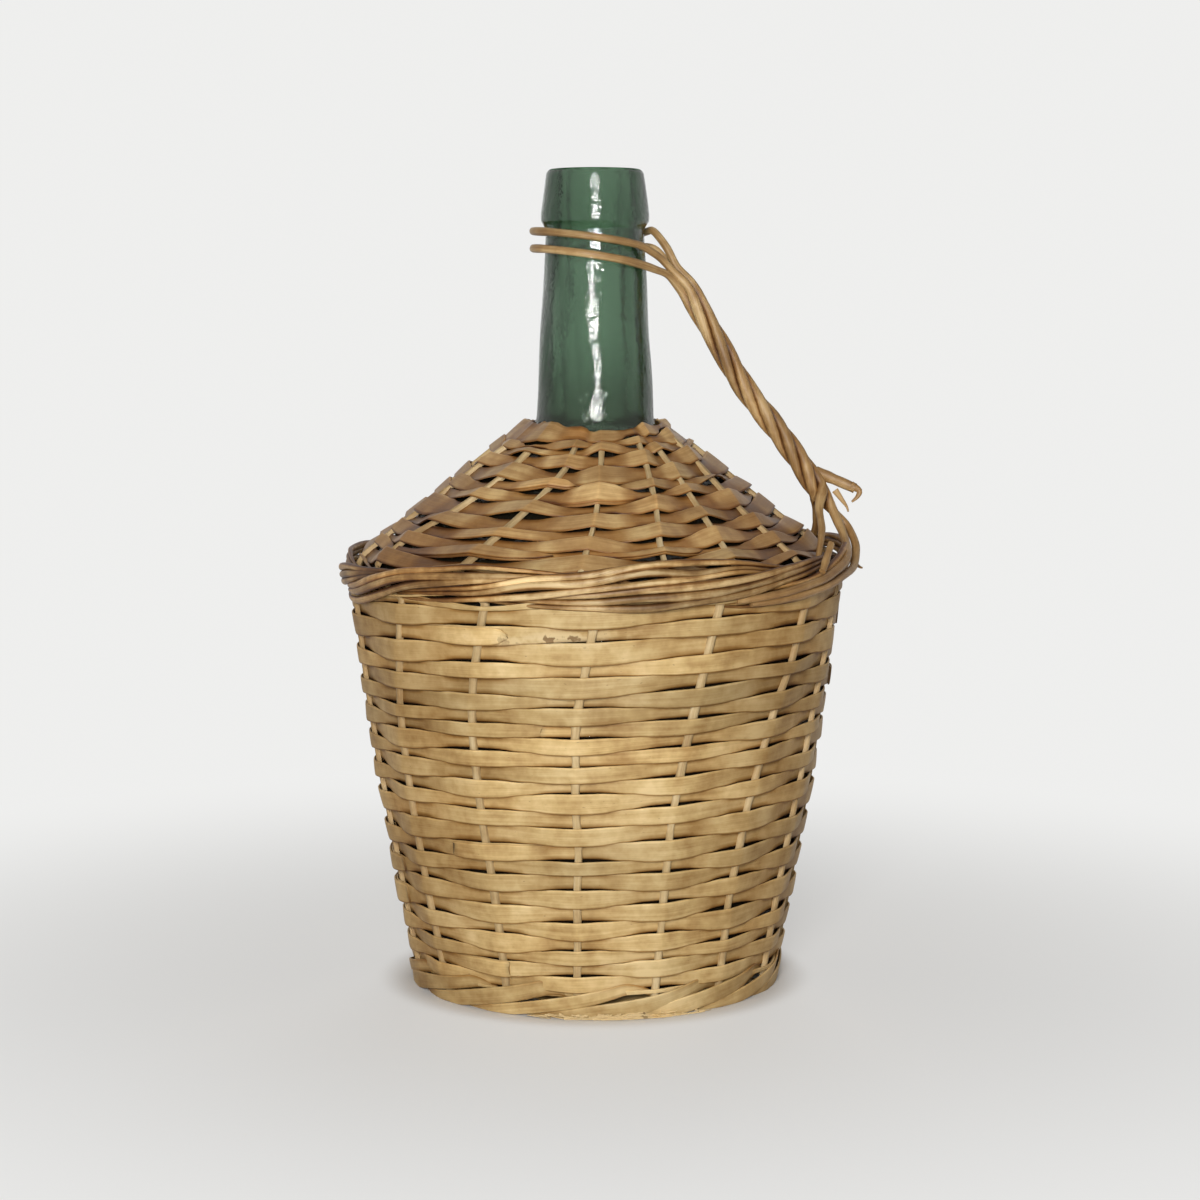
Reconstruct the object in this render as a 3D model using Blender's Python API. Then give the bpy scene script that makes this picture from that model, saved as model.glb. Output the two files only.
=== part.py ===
"""Demijohn: a green glass bottle of about five litres in a basket of flat split wood, with a twisted cane handle.

Lengths are in metres, +Z is up, the floor is z = 0, and the bottle's axis is the Z axis. The handle is on the +X side.
Every piece of the basket lies on one outline in the (radius, height) half plane, which runs out along the base, up
the body and in over the shoulder. The glass is the same outline, set in by a clearance.
"""

import math

import bmesh
import bpy
from mathutils import Vector

# Overall sizes of the bottle and its basket.
BOTTLE_HEIGHT = 0.360
FOOT_RADIUS = 0.0806
BELLY_RADIUS = 0.0975
BELLY_HEIGHT = 0.0975
RIM_RADIUS = 0.1099
RIM_HEIGHT = 0.1864
NECK_ROOT_RADIUS = 0.0262
NECK_ROOT_HEIGHT = 0.2522
BASE_RECESS = 0.0015
FOOT_BEND = 0.0012
BELLY_BEND = 0.300
RIM_BEND = 0.012

# The upright stakes, each one strip from under the base to the neck.
STAKES = 15
START_ANGLE = math.radians(-22.5)
STAKE_WIDTH = 0.0036
STAKE_TIP_WIDTH = 0.0020
STAKE_THICKNESS = 0.0016
STAKE_START = 0.0110

# The flat splints that are woven over and under the stakes.
SPLINT_THICKNESS = 0.0010
WEAVE_CLEARANCE = 0.0008
WEAVE_GAP = 0.0006
WEAVE_TIP_SHARE = 0.26
NECK_CLEARANCE = 0.0043
BODY_TURNS = 25
BODY_SPLINTS = 14
BODY_SWELL = 0.0012
SHOULDER_TURNS = 11
SHOULDER_SPLINTS = 7
SHOULDER_SWELL = 0.0009
BASE_TURNS = 3
BASE_SPLINTS = 3
BASE_SWELL = 0.0010
BASE_WEAVE_START = 0.0300
BASE_WEAVE_MARGIN = 0.0060
END_GAP = 0.0005
CORE_THICKNESS = 0.0020
CORE_GAP = 0.0005

# The foot border: three splints, each over two stakes and behind the third.
FOOT_SPLINT_WIDTH = 0.0052
FOOT_SPLINT_GAP = 0.0004
FOOT_CUT = 0.0032
FOOT_TUCK = 0.0014
FOOT_LIFT = 0.0022

# The rim: three bundles of three round canes, woven in the same way.
RIM_CANE = 0.0022
RIM_CANE_GAP = 0.00035
RIM_BUNDLE_GAP = 0.00045
RIM_CLEARANCE = 0.0007
RIM_TILT = math.radians(50)
WALE_ROWS = 3

# The glass.
GLASS_CLEARANCE = 0.00035
GLASS_WALL = 0.0040
GLASS_SEGMENTS = 24
HEEL_BEND = 0.012
SHOULDER_BEND = 0.030
NECK_BEND = 0.008
PUNT_RADIUS = 0.052
PUNT_RISE = 0.012
PUNT_BEND = 0.020
NECK_RADIUS = 0.0217
LIP_RADIUS = 0.0239
LIP_HEIGHT = 0.0262
LIP_UNDERCUT = 0.0035
LIP_BULGE_RISE = 0.0030
LIP_BEND = 0.0025
MOUTH_RADIUS = 0.0210
MOUTH_BEND = 0.0030
BORE_RADIUS = 0.0108
BORE_ROOT_RADIUS = 0.0150
BORE_BEND = 0.0015
BORE_ROOT_BEND = 0.012

# The handle: two canes, each round the neck once and back, twisted together.
HANDLE_CANE = 0.0037
HANDLE_SIDES = 5
ROPE_RADIUS = 0.0034
ROPE_TWIST = math.radians(595)
ROPE_STEP = 0.0078
ROPE_TOP_REACH = 0.0166
ROPE_TOP_DROP = 0.0515
ROPE_FOOT_INSET = 0.0059
ROPE_FOOT_RISE = 0.0206
ROPE_ROUTE_SHARES = ((0, 0), (0.21, 0.23), (0.41, 0.44), (0.67, 0.65), (0.92, 0.88), (1, 1))
TIGHTENING_SHARE = 1.35
LOOP_CLEARANCE = 0.0026
LOOP_SLACK = 0.0010
LOOP_STEPS = 14
LOOP_OPENING = math.radians(38)
UPPER_LOOP_DROPS = {"right": 0.0315, "left": 0.0270, "back": 0.0275}
LOWER_LOOP_DROPS = {"right": 0.0410, "left": 0.0345, "back": 0.0335}
TAIL_CLEARANCE = 0.0007
TAIL_SPREAD = 0.0024
INNER_TAIL_MARGIN = 0.0045
OUTER_TAIL_SHARES = (0.32, 0, -0.35)

# How finely bends are drawn: the largest turn between two points, and the largest gap between a chord and its arc.
STAKE_TURN = math.radians(42)
STAKE_SAG = 0.00032
GLASS_TURN = math.radians(42)
GLASS_SAG = 0.0012
GAP_STEP = 0.0010
GAP_REACH = 0.0120
ROUND_LIMIT = math.radians(35)
MERGE = 0.00001

WICKER = (0.55, 0.36, 0.16)
STAKE_WOOD = (0.60, 0.43, 0.22)
CANE = (0.50, 0.34, 0.16)
GLASS_GREEN = (0.07, 0.20, 0.11)


class Outline:
    """Straight runs with rounded corners in the (radius, height) half plane, walked by their length."""

    def __init__(self, corners, bends):
        self.runs = []
        self.length = 0.0
        here = corners[0]
        for before, corner, after, bend in zip(corners, corners[1:], corners[2:], bends):
            way_in = (corner - before).normalized()
            way_out = (after - corner).normalized()
            turn = math.atan2(way_in.cross(way_out), way_in.dot(way_out))
            reach = bend * math.tan(abs(turn) / 2)
            start = corner - way_in * reach
            self.add_straight(here, start)
            side = Vector((-way_in.y, way_in.x)) * math.copysign(1, turn)
            self.runs.append((self.length, bend * abs(turn), start + side * bend, start, turn))
            self.length += bend * abs(turn)
            here = corner + way_out * reach
        self.add_straight(here, corners[-1])

    def add_straight(self, start, end):
        self.runs.append((self.length, (end - start).length, None, start, end))
        self.length += (end - start).length

    def at(self, along):
        """The point, the direction and the outward normal at this length along the outline."""
        run = [r for r in self.runs if r[0] <= along + MERGE][-1]
        begin, length, centre, start, last = run
        if centre is None:
            way = (last - start).normalized()
            point = start + way * (along - begin)
        else:
            turned = last * (along - begin) / length
            spoke = start - centre
            point = centre + spun(spoke, turned)
            way = spun(Vector((-spoke.y, spoke.x)).normalized() * math.copysign(1, last), turned)
        return point, way, Vector((way.y, -way.x))

    def stations(self, turn_limit, sag_limit):
        """Lengths along the outline at the ends of its runs, and enough of them in each bend to draw it."""
        found = []
        for begin, length, centre, start, turn in self.runs:
            steps = 1
            if centre is not None:
                chord_turn = 2 * math.acos(1 - sag_limit / max((start - centre).length, sag_limit))
                steps = max(1, math.ceil(abs(turn) / min(turn_limit, chord_turn)))
            found += [begin + length * i / steps for i in range(steps)]
        return found + [self.length]


def spun(vector, angle):
    cos, sin = math.cos(angle), math.sin(angle)
    return Vector((vector.x * cos - vector.y * sin, vector.x * sin + vector.y * cos))


def set_in(corners, distance):
    """The same corners, moved to the outline's inner side so that every run is this far from its old place."""
    moved = []
    for i, corner in enumerate(corners):
        ways = [(b - a).normalized() for a, b in zip(corners[max(i - 1, 0):], corners[max(i - 1, 0) + 1:i + 2])]
        normals = [Vector((way.y, -way.x)) for way in ways]
        mitre = sum(normals, Vector((0, 0))).normalized()
        moved.append(corner - mitre * (distance / mitre.dot(normals[0])))
    return moved


def on_line(start, end, radius):
    """The point of the line through start and end at this radius."""
    return start + (end - start) * ((radius - start.x) / (end.x - start.x))


def swing(thickness, clearance):
    """How far from the stakes' middle a splint or cane of this thickness runs where it crosses them."""
    return STAKE_THICKNESS / 2 + clearance + thickness / 2


WEAVE_SWING = swing(SPLINT_THICKNESS, WEAVE_CLEARANCE)
WEAVE_DEPTH = WEAVE_SWING + SPLINT_THICKNESS / 2
RIM_SWING = swing(RIM_CANE, RIM_CLEARANCE)
RIM_SPACING = RIM_CANE + RIM_CANE_GAP
RIM_STEP = 2 * RIM_SPACING + RIM_CANE + RIM_BUNDLE_GAP
RIM_ZONE = 2 * RIM_STEP + 2 * RIM_SPACING * math.cos(RIM_TILT) + RIM_CANE
FOOT_STEP = FOOT_SPLINT_WIDTH + FOOT_SPLINT_GAP
FOOT_ZONE = 2 * FOOT_STEP + FOOT_SPLINT_WIDTH - FOOT_CUT


def basket_corners():
    """The outline of the stakes' middle, which ends beside the neck's root."""
    floor = BASE_RECESS + WEAVE_DEPTH
    rim = Vector((RIM_RADIUS, RIM_HEIGHT))
    neck_root = Vector((NECK_ROOT_RADIUS, NECK_ROOT_HEIGHT))
    return [
        Vector((STAKE_START, floor)),
        Vector((FOOT_RADIUS, floor)),
        Vector((BELLY_RADIUS, BELLY_HEIGHT)),
        rim,
        on_line(rim, neck_root, NECK_ROOT_RADIUS + NECK_CLEARANCE),
    ]


BASKET = Outline(basket_corners(), (FOOT_BEND, BELLY_BEND, RIM_BEND))
BODY_ALONG = BASKET.runs[2][0]
RIM_ALONG = BASKET.runs[5][0] + BASKET.runs[5][1] / 2


def around(radius, angle, height):
    return Vector((radius * math.cos(angle), radius * math.sin(angle), height))


def on_basket(along, angle, off):
    """A point on the basket: this far along its outline, at this angle, and off it on the outside."""
    point, _, normal = BASKET.at(along)
    place = point + normal * off
    return around(place.x, angle, place.y)


def stake_angle(number):
    return START_ANGLE + 2 * math.pi * number / STAKES


def finish_mesh(name, bm, material):
    bmesh.ops.remove_doubles(bm, verts=bm.verts, dist=MERGE)
    bmesh.ops.recalc_face_normals(bm, faces=bm.faces)
    mesh = bpy.data.meshes.new(name)
    bm.to_mesh(mesh)
    bm.free()
    mesh.shade_smooth()
    mesh.set_sharp_from_angle(angle=ROUND_LIMIT)
    mesh.materials.append(material)
    part = bpy.data.objects.new(name, mesh)
    bpy.context.scene.collection.objects.link(part)
    return part


def loft(name, rings, material, closed=False):
    """One solid through these rings of points: capped at both ends, or closed on itself."""
    bm = bmesh.new()
    loops = [[bm.verts.new(point) for point in ring] for ring in rings]
    pairs = list(zip(loops, loops[1:])) + ([(loops[-1], loops[0])] if closed else [])
    for first, second in pairs:
        for i in range(len(first)):
            j = (i + 1) % len(first)
            bm.faces.new((first[i], first[j], second[j], second[i]))
    if not closed:
        bm.faces.new(loops[0])
        bm.faces.new(loops[-1])
    return finish_mesh(name, bm, material)


def turned(name, profile, material):
    """A solid of revolution round the Z axis, from its profile's points."""
    bm = bmesh.new()
    verts = [bm.verts.new((point.x, 0, point.y)) for point in profile]
    edges = [bm.edges.new(pair) for pair in zip(verts, verts[1:])]
    bmesh.ops.spin(bm, geom=verts + edges, cent=(0, 0, 0), axis=(0, 0, 1), angle=2 * math.pi, steps=GLASS_SEGMENTS)
    return finish_mesh(name, bm, material)


def wood(name, colour):
    material = bpy.data.materials.new(name)
    material.use_nodes = True
    shader = material.node_tree.nodes["Principled BSDF"]
    shader.inputs["Base Color"].default_value = (*colour, 1)
    shader.inputs["Roughness"].default_value = 0.6
    shader.inputs["Metallic"].default_value = 0.0
    return material


def green_glass():
    material = wood("green_glass", GLASS_GREEN)
    shader = material.node_tree.nodes["Principled BSDF"]
    shader.inputs["Roughness"].default_value = 0.05
    shader.inputs["Transmission Weight"].default_value = 0.8
    shader.inputs["IOR"].default_value = 1.5
    return material


def glass_profile():
    """The bottle's section, from the axis under the base round to the axis inside."""
    outside = set_in(basket_corners(), WEAVE_DEPTH + GLASS_CLEARANCE)
    inside = set_in(outside, GLASS_WALL)
    floor, floor_inside = outside[0].y, inside[0].y
    lip_base = BOTTLE_HEIGHT - LIP_HEIGHT
    corners = [
        Vector((0, floor + PUNT_RISE)),
        Vector((PUNT_RADIUS, floor)),
        *outside[1:4],
        on_line(outside[3], outside[4], NECK_ROOT_RADIUS),
        Vector((NECK_RADIUS, lip_base)),
        Vector((LIP_RADIUS, lip_base + LIP_UNDERCUT)),
        Vector((LIP_RADIUS, lip_base + LIP_UNDERCUT + LIP_BULGE_RISE)),
        Vector((MOUTH_RADIUS, BOTTLE_HEIGHT)),
        Vector((BORE_RADIUS, BOTTLE_HEIGHT)),
        on_line(inside[3], inside[4], BORE_ROOT_RADIUS),
        *reversed(inside[1:4]),
        Vector((PUNT_RADIUS, floor_inside)),
        Vector((0, floor_inside + PUNT_RISE)),
    ]
    bends = (
        PUNT_BEND,
        HEEL_BEND,
        BELLY_BEND,
        SHOULDER_BEND,
        NECK_BEND,
        LIP_BEND,
        LIP_BEND,
        LIP_BEND,
        MOUTH_BEND,
        BORE_BEND,
        BORE_ROOT_BEND,
        SHOULDER_BEND - GLASS_WALL,
        BELLY_BEND,
        HEEL_BEND - GLASS_WALL,
        PUNT_BEND,
    )
    outline = Outline(corners, bends)
    return [outline.at(along)[0] for along in outline.stations(GLASS_TURN, GLASS_SAG)]


def make_glass():
    turned("glass_bottle", glass_profile(), green_glass())


def make_stakes(material):
    """Each stake is one strip along the whole outline, from near the base's centre to the neck."""
    stations = BASKET.stations(STAKE_TURN, STAKE_SAG)
    for number in range(STAKES):
        angle = stake_angle(number)
        rings = []
        for along in stations:
            width = STAKE_TIP_WIDTH if along in (0.0, BASKET.length) else STAKE_WIDTH
            across = Vector((-math.sin(angle), math.cos(angle), 0)) * width / 2
            outer = on_basket(along, angle, STAKE_THICKNESS / 2)
            inner = on_basket(along, angle, -STAKE_THICKNESS / 2)
            rings.append((outer - across, outer + across, inner + across, inner - across))
        loft(f"stake_{number + 1:02d}", rings, material)


def make_weave(name, zone, turns, splints, swell, material):
    """A zone of the basket, woven in one spiral of splints laid end to end, which meet under a stake. An odd count
    of stakes makes each turn pass over the stakes that the last one passed under."""
    pitch = (zone[1] - zone[0]) / turns
    tip = STAKES * WEAVE_TIP_SHARE
    first = math.ceil(tip)
    last = math.floor((turns + 1) * STAKES - tip)
    joins = [2 * round((first + (last - first) * i / splints) / 2) + 1 for i in range(1, splints)]
    for number, (begin, end) in enumerate(zip([first, *joins], [*joins, last])):
        rings = [weave_ring(zone, pitch, swell, place / 2) for place in range(2 * begin, 2 * end + 1)]
        rings[0] = drawn_in(rings[0], rings[1])
        rings[-1] = drawn_in(rings[-1], rings[-2])
        loft(f"{name}_{number + 1:02d}", rings, material)


def weave_ring(zone, pitch, swell, place):
    """A section of the woven spiral, at a place counted in stakes: wide and outside over a stake, narrow under it."""
    side = math.cos(math.pi * place)
    middle = zone[0] - pitch / 2 + pitch * place / STAKES
    half = (pitch - WEAVE_GAP) / 2 + swell * side
    low = max(middle - half, zone[0] + WEAVE_GAP / 2)
    high = min(middle + half, zone[1] - WEAVE_GAP / 2)
    angle, off, thick = stake_angle(place), WEAVE_SWING * side, SPLINT_THICKNESS / 2
    return [on_basket(low, angle, off + thick), on_basket(high, angle, off + thick),
            on_basket(high, angle, off - thick), on_basket(low, angle, off - thick)]


def drawn_in(ring, inner_ring):
    """An end ring, moved towards the next one so that two splints meet with a gap."""
    toward = sum(inner_ring, Vector()) - sum(ring, Vector())
    shift = toward.normalized() * END_GAP
    return [point + shift for point in ring]


def wale_phase(place, strand):
    """Where a strand of a three-rod weave is in its round: 0 to 2 outside the stakes, 2 to 3 behind one."""
    return (place + WALE_ROWS / 6 + strand) % WALE_ROWS


def wale_swing(phase, reach):
    """The offset from the stakes: out between phase 0 and 2, and in at 2.5."""
    if phase <= 2:
        return reach * min(1, 2 * min(phase, 2 - phase))
    return -reach * math.sin(math.pi * (phase - 2))


def wale_rise(phase, step, lift=0):
    """The height in the zone: it climbs outside the stakes, and drops behind one, lifted by this much."""
    if phase <= 2:
        return step * (phase - 1)
    return step * math.cos(math.pi * (phase - 2)) + lift * math.sin(math.pi * (phase - 2))


def wale_places():
    return [half_stake / 2 for half_stake in range(2 * STAKES)]


def floor_along():
    """Where the body's lower run, carried straight on past the bend of the stakes, meets the floor."""
    start, way, _ = BASKET.at(BODY_ALONG)
    return BODY_ALONG - start.y / way.y


def make_foot(material):
    """The foot border: three flat splints that climb outside two stakes and drop behind the third. The floor cuts
    their lowest edges flat."""
    middle = floor_along() + (FOOT_ZONE - FOOT_CUT) / 2
    thick = SPLINT_THICKNESS / 2
    for strand in range(WALE_ROWS):
        rings = []
        for place in wale_places():
            phase = wale_phase(place, strand)
            off = wale_swing(phase, WEAVE_SWING)
            half = FOOT_SPLINT_WIDTH / 2 - FOOT_TUCK * math.sin(math.pi * max(phase - 2, 0))
            along = middle + wale_rise(phase, FOOT_STEP, FOOT_LIFT)
            angle = stake_angle(place)
            rings.append([foot_point(along - half, angle, off + thick), foot_point(along + half, angle, off + thick),
                          foot_point(along + half, angle, off - thick), foot_point(along - half, angle, off - thick)])
        loft(f"foot_splint_{strand + 1}", rings, material, closed=True)


def foot_point(along, angle, off):
    """A point off the body's lower run and its straight extension to the floor, and never below the floor."""
    start, way, normal = BASKET.at(BODY_ALONG)
    place = start + way * (along - BODY_ALONG) + normal * off
    return around(place.x, angle, max(place.y, 0))


def make_base_core(material):
    """The flat disc under the base's centre, which the stakes start from."""
    middle = BASE_RECESS + WEAVE_DEPTH
    low, high = middle - CORE_THICKNESS / 2, middle + CORE_THICKNESS / 2
    radius = STAKE_START - CORE_GAP
    turned("base_core", [Vector((0, low)), Vector((radius, low)), Vector((radius, high)), Vector((0, high))], material)


def make_rim(material):
    """The rim: three bundles of three canes. A bundle tilts where it comes out and goes in, and looks narrow there."""
    for strand in range(WALE_ROWS):
        for cane in range(WALE_ROWS):
            rings = []
            for place in wale_places():
                phase = wale_phase(place, strand)
                across = (cane - 1) * RIM_SPACING
                off = wale_swing(phase, RIM_SWING) - across * math.sin(rim_tilt(phase))
                along = RIM_ALONG + wale_rise(phase, RIM_STEP) + across * math.cos(rim_tilt(phase))
                rings.append(cane_ring(along, stake_angle(place), off, RIM_CANE / 2))
            loft(f"rim_cane_{strand + 1}{'abc'[cane]}", rings, material, closed=True)


def rim_tilt(phase):
    """How far a bundle leans: none outside the stakes, and most between the stake that it passes behind and the next."""
    if phase <= 2:
        return RIM_TILT * math.copysign(max(2 * abs(phase - 1) - 1, 0), phase - 1)
    return RIM_TILT * math.cos(math.pi * (phase - 2))


def cane_ring(along, angle, off, radius):
    corners = ((radius, 0), (0, radius), (-radius, 0), (0, -radius))
    return [on_basket(along + up, angle, off + out) for up, out in corners]


def smooth_route(points, step):
    """Points at about this spacing on a smooth curve through the given ones."""
    ends = [points[0] * 2 - points[1], *points, points[-1] * 2 - points[-2]]
    found = []
    for before, start, end, after in zip(ends, ends[1:], ends[2:], ends[3:]):
        steps = max(1, round((end - start).length / step))
        for i in range(steps):
            t = i / steps
            found.append(0.5 * (2 * start + (end - before) * t + (2 * before - 5 * start + 4 * end - after) * t * t
                                + (3 * start - before - 3 * end + after) * t ** 3))
    return found + [points[-1]]


def rope_line():
    """The middle line of the twisted part, from beside the neck to above the rim."""
    top = Vector((LIP_RADIUS + ROPE_TOP_REACH, 0, BOTTLE_HEIGHT - ROPE_TOP_DROP))
    foot = Vector((RIM_RADIUS - ROPE_FOOT_INSET, 0, RIM_HEIGHT + ROPE_FOOT_RISE))
    span = foot - top
    route = [top + Vector((span.x * out, 0, span.z * down)) for out, down in ROPE_ROUTE_SHARES]
    return smooth_route(route, ROPE_STEP)


def rope_strand(start_angle):
    """One cane in the twist. From the outer side it turns to the front, the inner side and the back on its way down."""
    line = rope_line()
    walks = [0.0]
    for a, b in zip(line, line[1:]):
        walks.append(walks[-1] + (b - a).length)
    points = []
    for i, point in enumerate(line):
        way = (line[min(i + 1, len(line) - 1)] - line[max(i - 1, 0)]).normalized()
        angle = start_angle + ROPE_TWIST * (walks[i] / walks[-1]) ** TIGHTENING_SHARE
        outward = Vector((-way.z, 0, way.x))
        points.append(point + (outward * math.cos(angle) - Vector((0, 1, 0)) * math.sin(angle)) * ROPE_RADIUS)
    return points


def rope_tail(last):
    """The end of a cane past the twist: over the rim on the outer side, or down to the shoulder inside it."""
    side = math.copysign(TAIL_SPREAD, last.y)
    half = HANDLE_CANE / 2 + TAIL_CLEARANCE
    if last.x > RIM_RADIUS - ROPE_FOOT_INSET:
        places = [(RIM_ALONG + share * RIM_ZONE, RIM_SWING + RIM_CANE / 2 + half) for share in OUTER_TAIL_SHARES]
    else:
        places = [(RIM_ALONG + RIM_ZONE / 2 + INNER_TAIL_MARGIN, WEAVE_DEPTH + half)]
    return [on_basket(along, 0, off) + Vector((0, side, 0)) for along, off in places]


def neck_loop(drops):
    """A cane's turn round the neck, from the front right past the left side to the back right."""
    points = []
    for i in range(LOOP_STEPS + 1):
        share = i / LOOP_STEPS
        angle = -LOOP_OPENING - (2 * math.pi - 2 * LOOP_OPENING) * share
        radius = NECK_RADIUS + HANDLE_CANE / 2 + LOOP_CLEARANCE - LOOP_SLACK * math.cos(angle)
        end = drops["right"] if share < 0.5 else drops["back"]
        drop = end + (drops["left"] - end) * math.sin(math.pi * share)
        points.append(around(radius, angle, BOTTLE_HEIGHT - drop))
    return points


def cane_tube(name, line, radius, material):
    """A round cane along these points, with flat ends."""
    rings = []
    side = Vector((0, 1, 0))
    for i, point in enumerate(line):
        way = (line[min(i + 1, len(line) - 1)] - line[max(i - 1, 0)]).normalized()
        side = (side - way * side.dot(way)).normalized()
        other = way.cross(side)
        ring = []
        for corner in range(HANDLE_SIDES):
            angle = 2 * math.pi * corner / HANDLE_SIDES
            ring.append(point + (side * math.cos(angle) + other * math.sin(angle)) * radius)
        rings.append(ring)
    return loft(name, rings, material)


def make_handle(material):
    """Two canes from the rim to the neck and back, with four legs in the twist."""
    legs = {"upper": (80, 350, UPPER_LOOP_DROPS), "lower": (170, 260, LOWER_LOOP_DROPS)}
    routes = {}
    for name, (front, back, drops) in legs.items():
        strands = [rope_strand(math.radians(angle)) for angle in (front, back)]
        first, second = [strand + rope_tail(strand[-1]) for strand in strands]
        route = smooth_route([*reversed(first), *neck_loop(drops), *second], ROPE_STEP)
        cane_tube(f"handle_cane_{name}", route, HANDLE_CANE / 2, material)
        routes[name] = smooth_route(route, GAP_STEP)
        print(f"least gap of the {name} handle cane to itself: {least_gap(routes[name], routes[name]):.5f} m")
    print(f"least gap between the two handle canes: {least_gap(routes['upper'], routes['lower']):.5f} m")


def least_gap(first, second):
    """The least gap between two canes, or between places of one cane that are well apart along it."""
    apart = GAP_REACH / GAP_STEP if first is second else 0
    return min((a - b).length for i, a in enumerate(first) for j, b in enumerate(second)
               if abs(i - j) >= apart) - HANDLE_CANE


def clear_scene():
    for item in list(bpy.data.objects):
        bpy.data.objects.remove(item)


def main():
    clear_scene()
    wicker = wood("wicker", WICKER)
    stake_wood = wood("stake_wood", STAKE_WOOD)
    cane = wood("cane", CANE)
    make_glass()
    make_stakes(stake_wood)
    foot_top = floor_along() + FOOT_ZONE
    rim_low, rim_high = RIM_ALONG - RIM_ZONE / 2, RIM_ALONG + RIM_ZONE / 2
    base_zone = (BASE_WEAVE_START - STAKE_START, FOOT_RADIUS - BASE_WEAVE_MARGIN - STAKE_START)
    make_base_core(wicker)
    make_weave("base_splint", base_zone, BASE_TURNS, BASE_SPLINTS, BASE_SWELL, wicker)
    make_weave("body_splint", (foot_top, rim_low), BODY_TURNS, BODY_SPLINTS, BODY_SWELL, wicker)
    make_weave("shoulder_splint", (rim_high, BASKET.length), SHOULDER_TURNS, SHOULDER_SPLINTS, SHOULDER_SWELL,
               wicker)
    make_foot(wicker)
    make_rim(cane)
    make_handle(cane)


main()
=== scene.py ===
"""The looks of the demijohn: hand-woven split wood round green bottle glass.

Everything is in metres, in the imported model's frame, and every piece stands where its CAD node is. The
basket's outline, its turns and its stakes repeat part.py's values.
"""

import math
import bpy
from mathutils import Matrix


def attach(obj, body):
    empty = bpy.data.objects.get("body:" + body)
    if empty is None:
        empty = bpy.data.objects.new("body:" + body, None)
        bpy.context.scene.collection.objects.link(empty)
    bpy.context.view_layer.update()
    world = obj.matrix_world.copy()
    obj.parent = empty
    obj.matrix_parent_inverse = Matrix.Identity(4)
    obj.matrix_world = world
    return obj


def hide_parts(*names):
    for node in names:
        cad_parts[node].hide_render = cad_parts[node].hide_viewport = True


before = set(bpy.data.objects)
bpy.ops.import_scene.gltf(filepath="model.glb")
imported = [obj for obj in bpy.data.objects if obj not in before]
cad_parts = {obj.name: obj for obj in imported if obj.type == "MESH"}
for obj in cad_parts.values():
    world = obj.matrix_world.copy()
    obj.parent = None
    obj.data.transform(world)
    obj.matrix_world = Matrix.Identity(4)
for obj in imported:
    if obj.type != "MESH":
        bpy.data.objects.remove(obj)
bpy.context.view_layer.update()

from types import SimpleNamespace as Look

import bpy
import numpy as np
from mathutils import Vector

# The bottle and the basket, as in part.py.
BOTTLE_HEIGHT = 0.360
FOOT_RADIUS = 0.0806
BELLY_RADIUS = 0.0975
BELLY_HEIGHT = 0.0975
RIM_RADIUS = 0.1099
RIM_HEIGHT = 0.1864
NECK_ROOT_RADIUS = 0.0262
NECK_ROOT_HEIGHT = 0.2522
FLOOR_RISE = 0.0041
FOOT_BEND = 0.0012
BELLY_BEND = 0.300
RIM_BEND = 0.012
STAKES = 15
START_ANGLE = math.radians(-22.5)
STAKE_START = 0.0110
NECK_CLEARANCE = 0.0043
BODY_TURNS = 25
BODY_SPLINTS = 14
SHOULDER_TURNS = 11
SHOULDER_SPLINTS = 7
BASE_TURNS = 3
BASE_SPLINTS = 3
BASE_WEAVE_START = 0.0300
BASE_WEAVE_MARGIN = 0.0060
WEAVE_TIP_SHARE = 0.26
WEAVE_DEPTH = 0.0026
FOOT_ZONE = 0.0132
RIM_ZONE = 0.02098
GLASS_CLEARANCE = 0.00035
GLASS_WALL = 0.0040
HEEL_BEND = 0.012
SHOULDER_BEND = 0.030
NECK_BEND = 0.008
PUNT_RADIUS = 0.052
PUNT_RISE = 0.012
PUNT_BEND = 0.020
NECK_RADIUS = 0.0217
LIP_RADIUS = 0.0239
LIP_HEIGHT = 0.0262
LIP_UNDERCUT = 0.0035
LIP_BULGE_RISE = 0.0030
LIP_BEND = 0.0025
MOUTH_RADIUS = 0.0210
MOUTH_BEND = 0.0030
BORE_RADIUS = 0.0108
BORE_ROOT_RADIUS = 0.0150
BORE_BEND = 0.0015
BORE_ROOT_BEND = 0.012

# The handle, much as in part.py, with another way round the neck and looser ends.
HANDLE_CANE = 0.0037
ROPE_TWIST = math.radians(595)
ROPE_STEP = 0.0078
ROPE_TOP_REACH = 0.0166
ROPE_TOP_DROP = 0.0515
ROPE_FOOT_INSET = 0.0059
ROPE_FOOT_RISE = 0.0206
ROPE_ROUTE_SHARES = ((0, 0), (0.21, 0.23), (0.41, 0.44), (0.67, 0.65), (0.92, 0.88), (1, 1))
TIGHTENING_SHARE = 1.35
LOOP_CLEARANCE = 0.0026
LOOP_SLACK = 0.0010
LOOP_STEPS = 14
LOOP_OPENING = math.radians(38)

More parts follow.
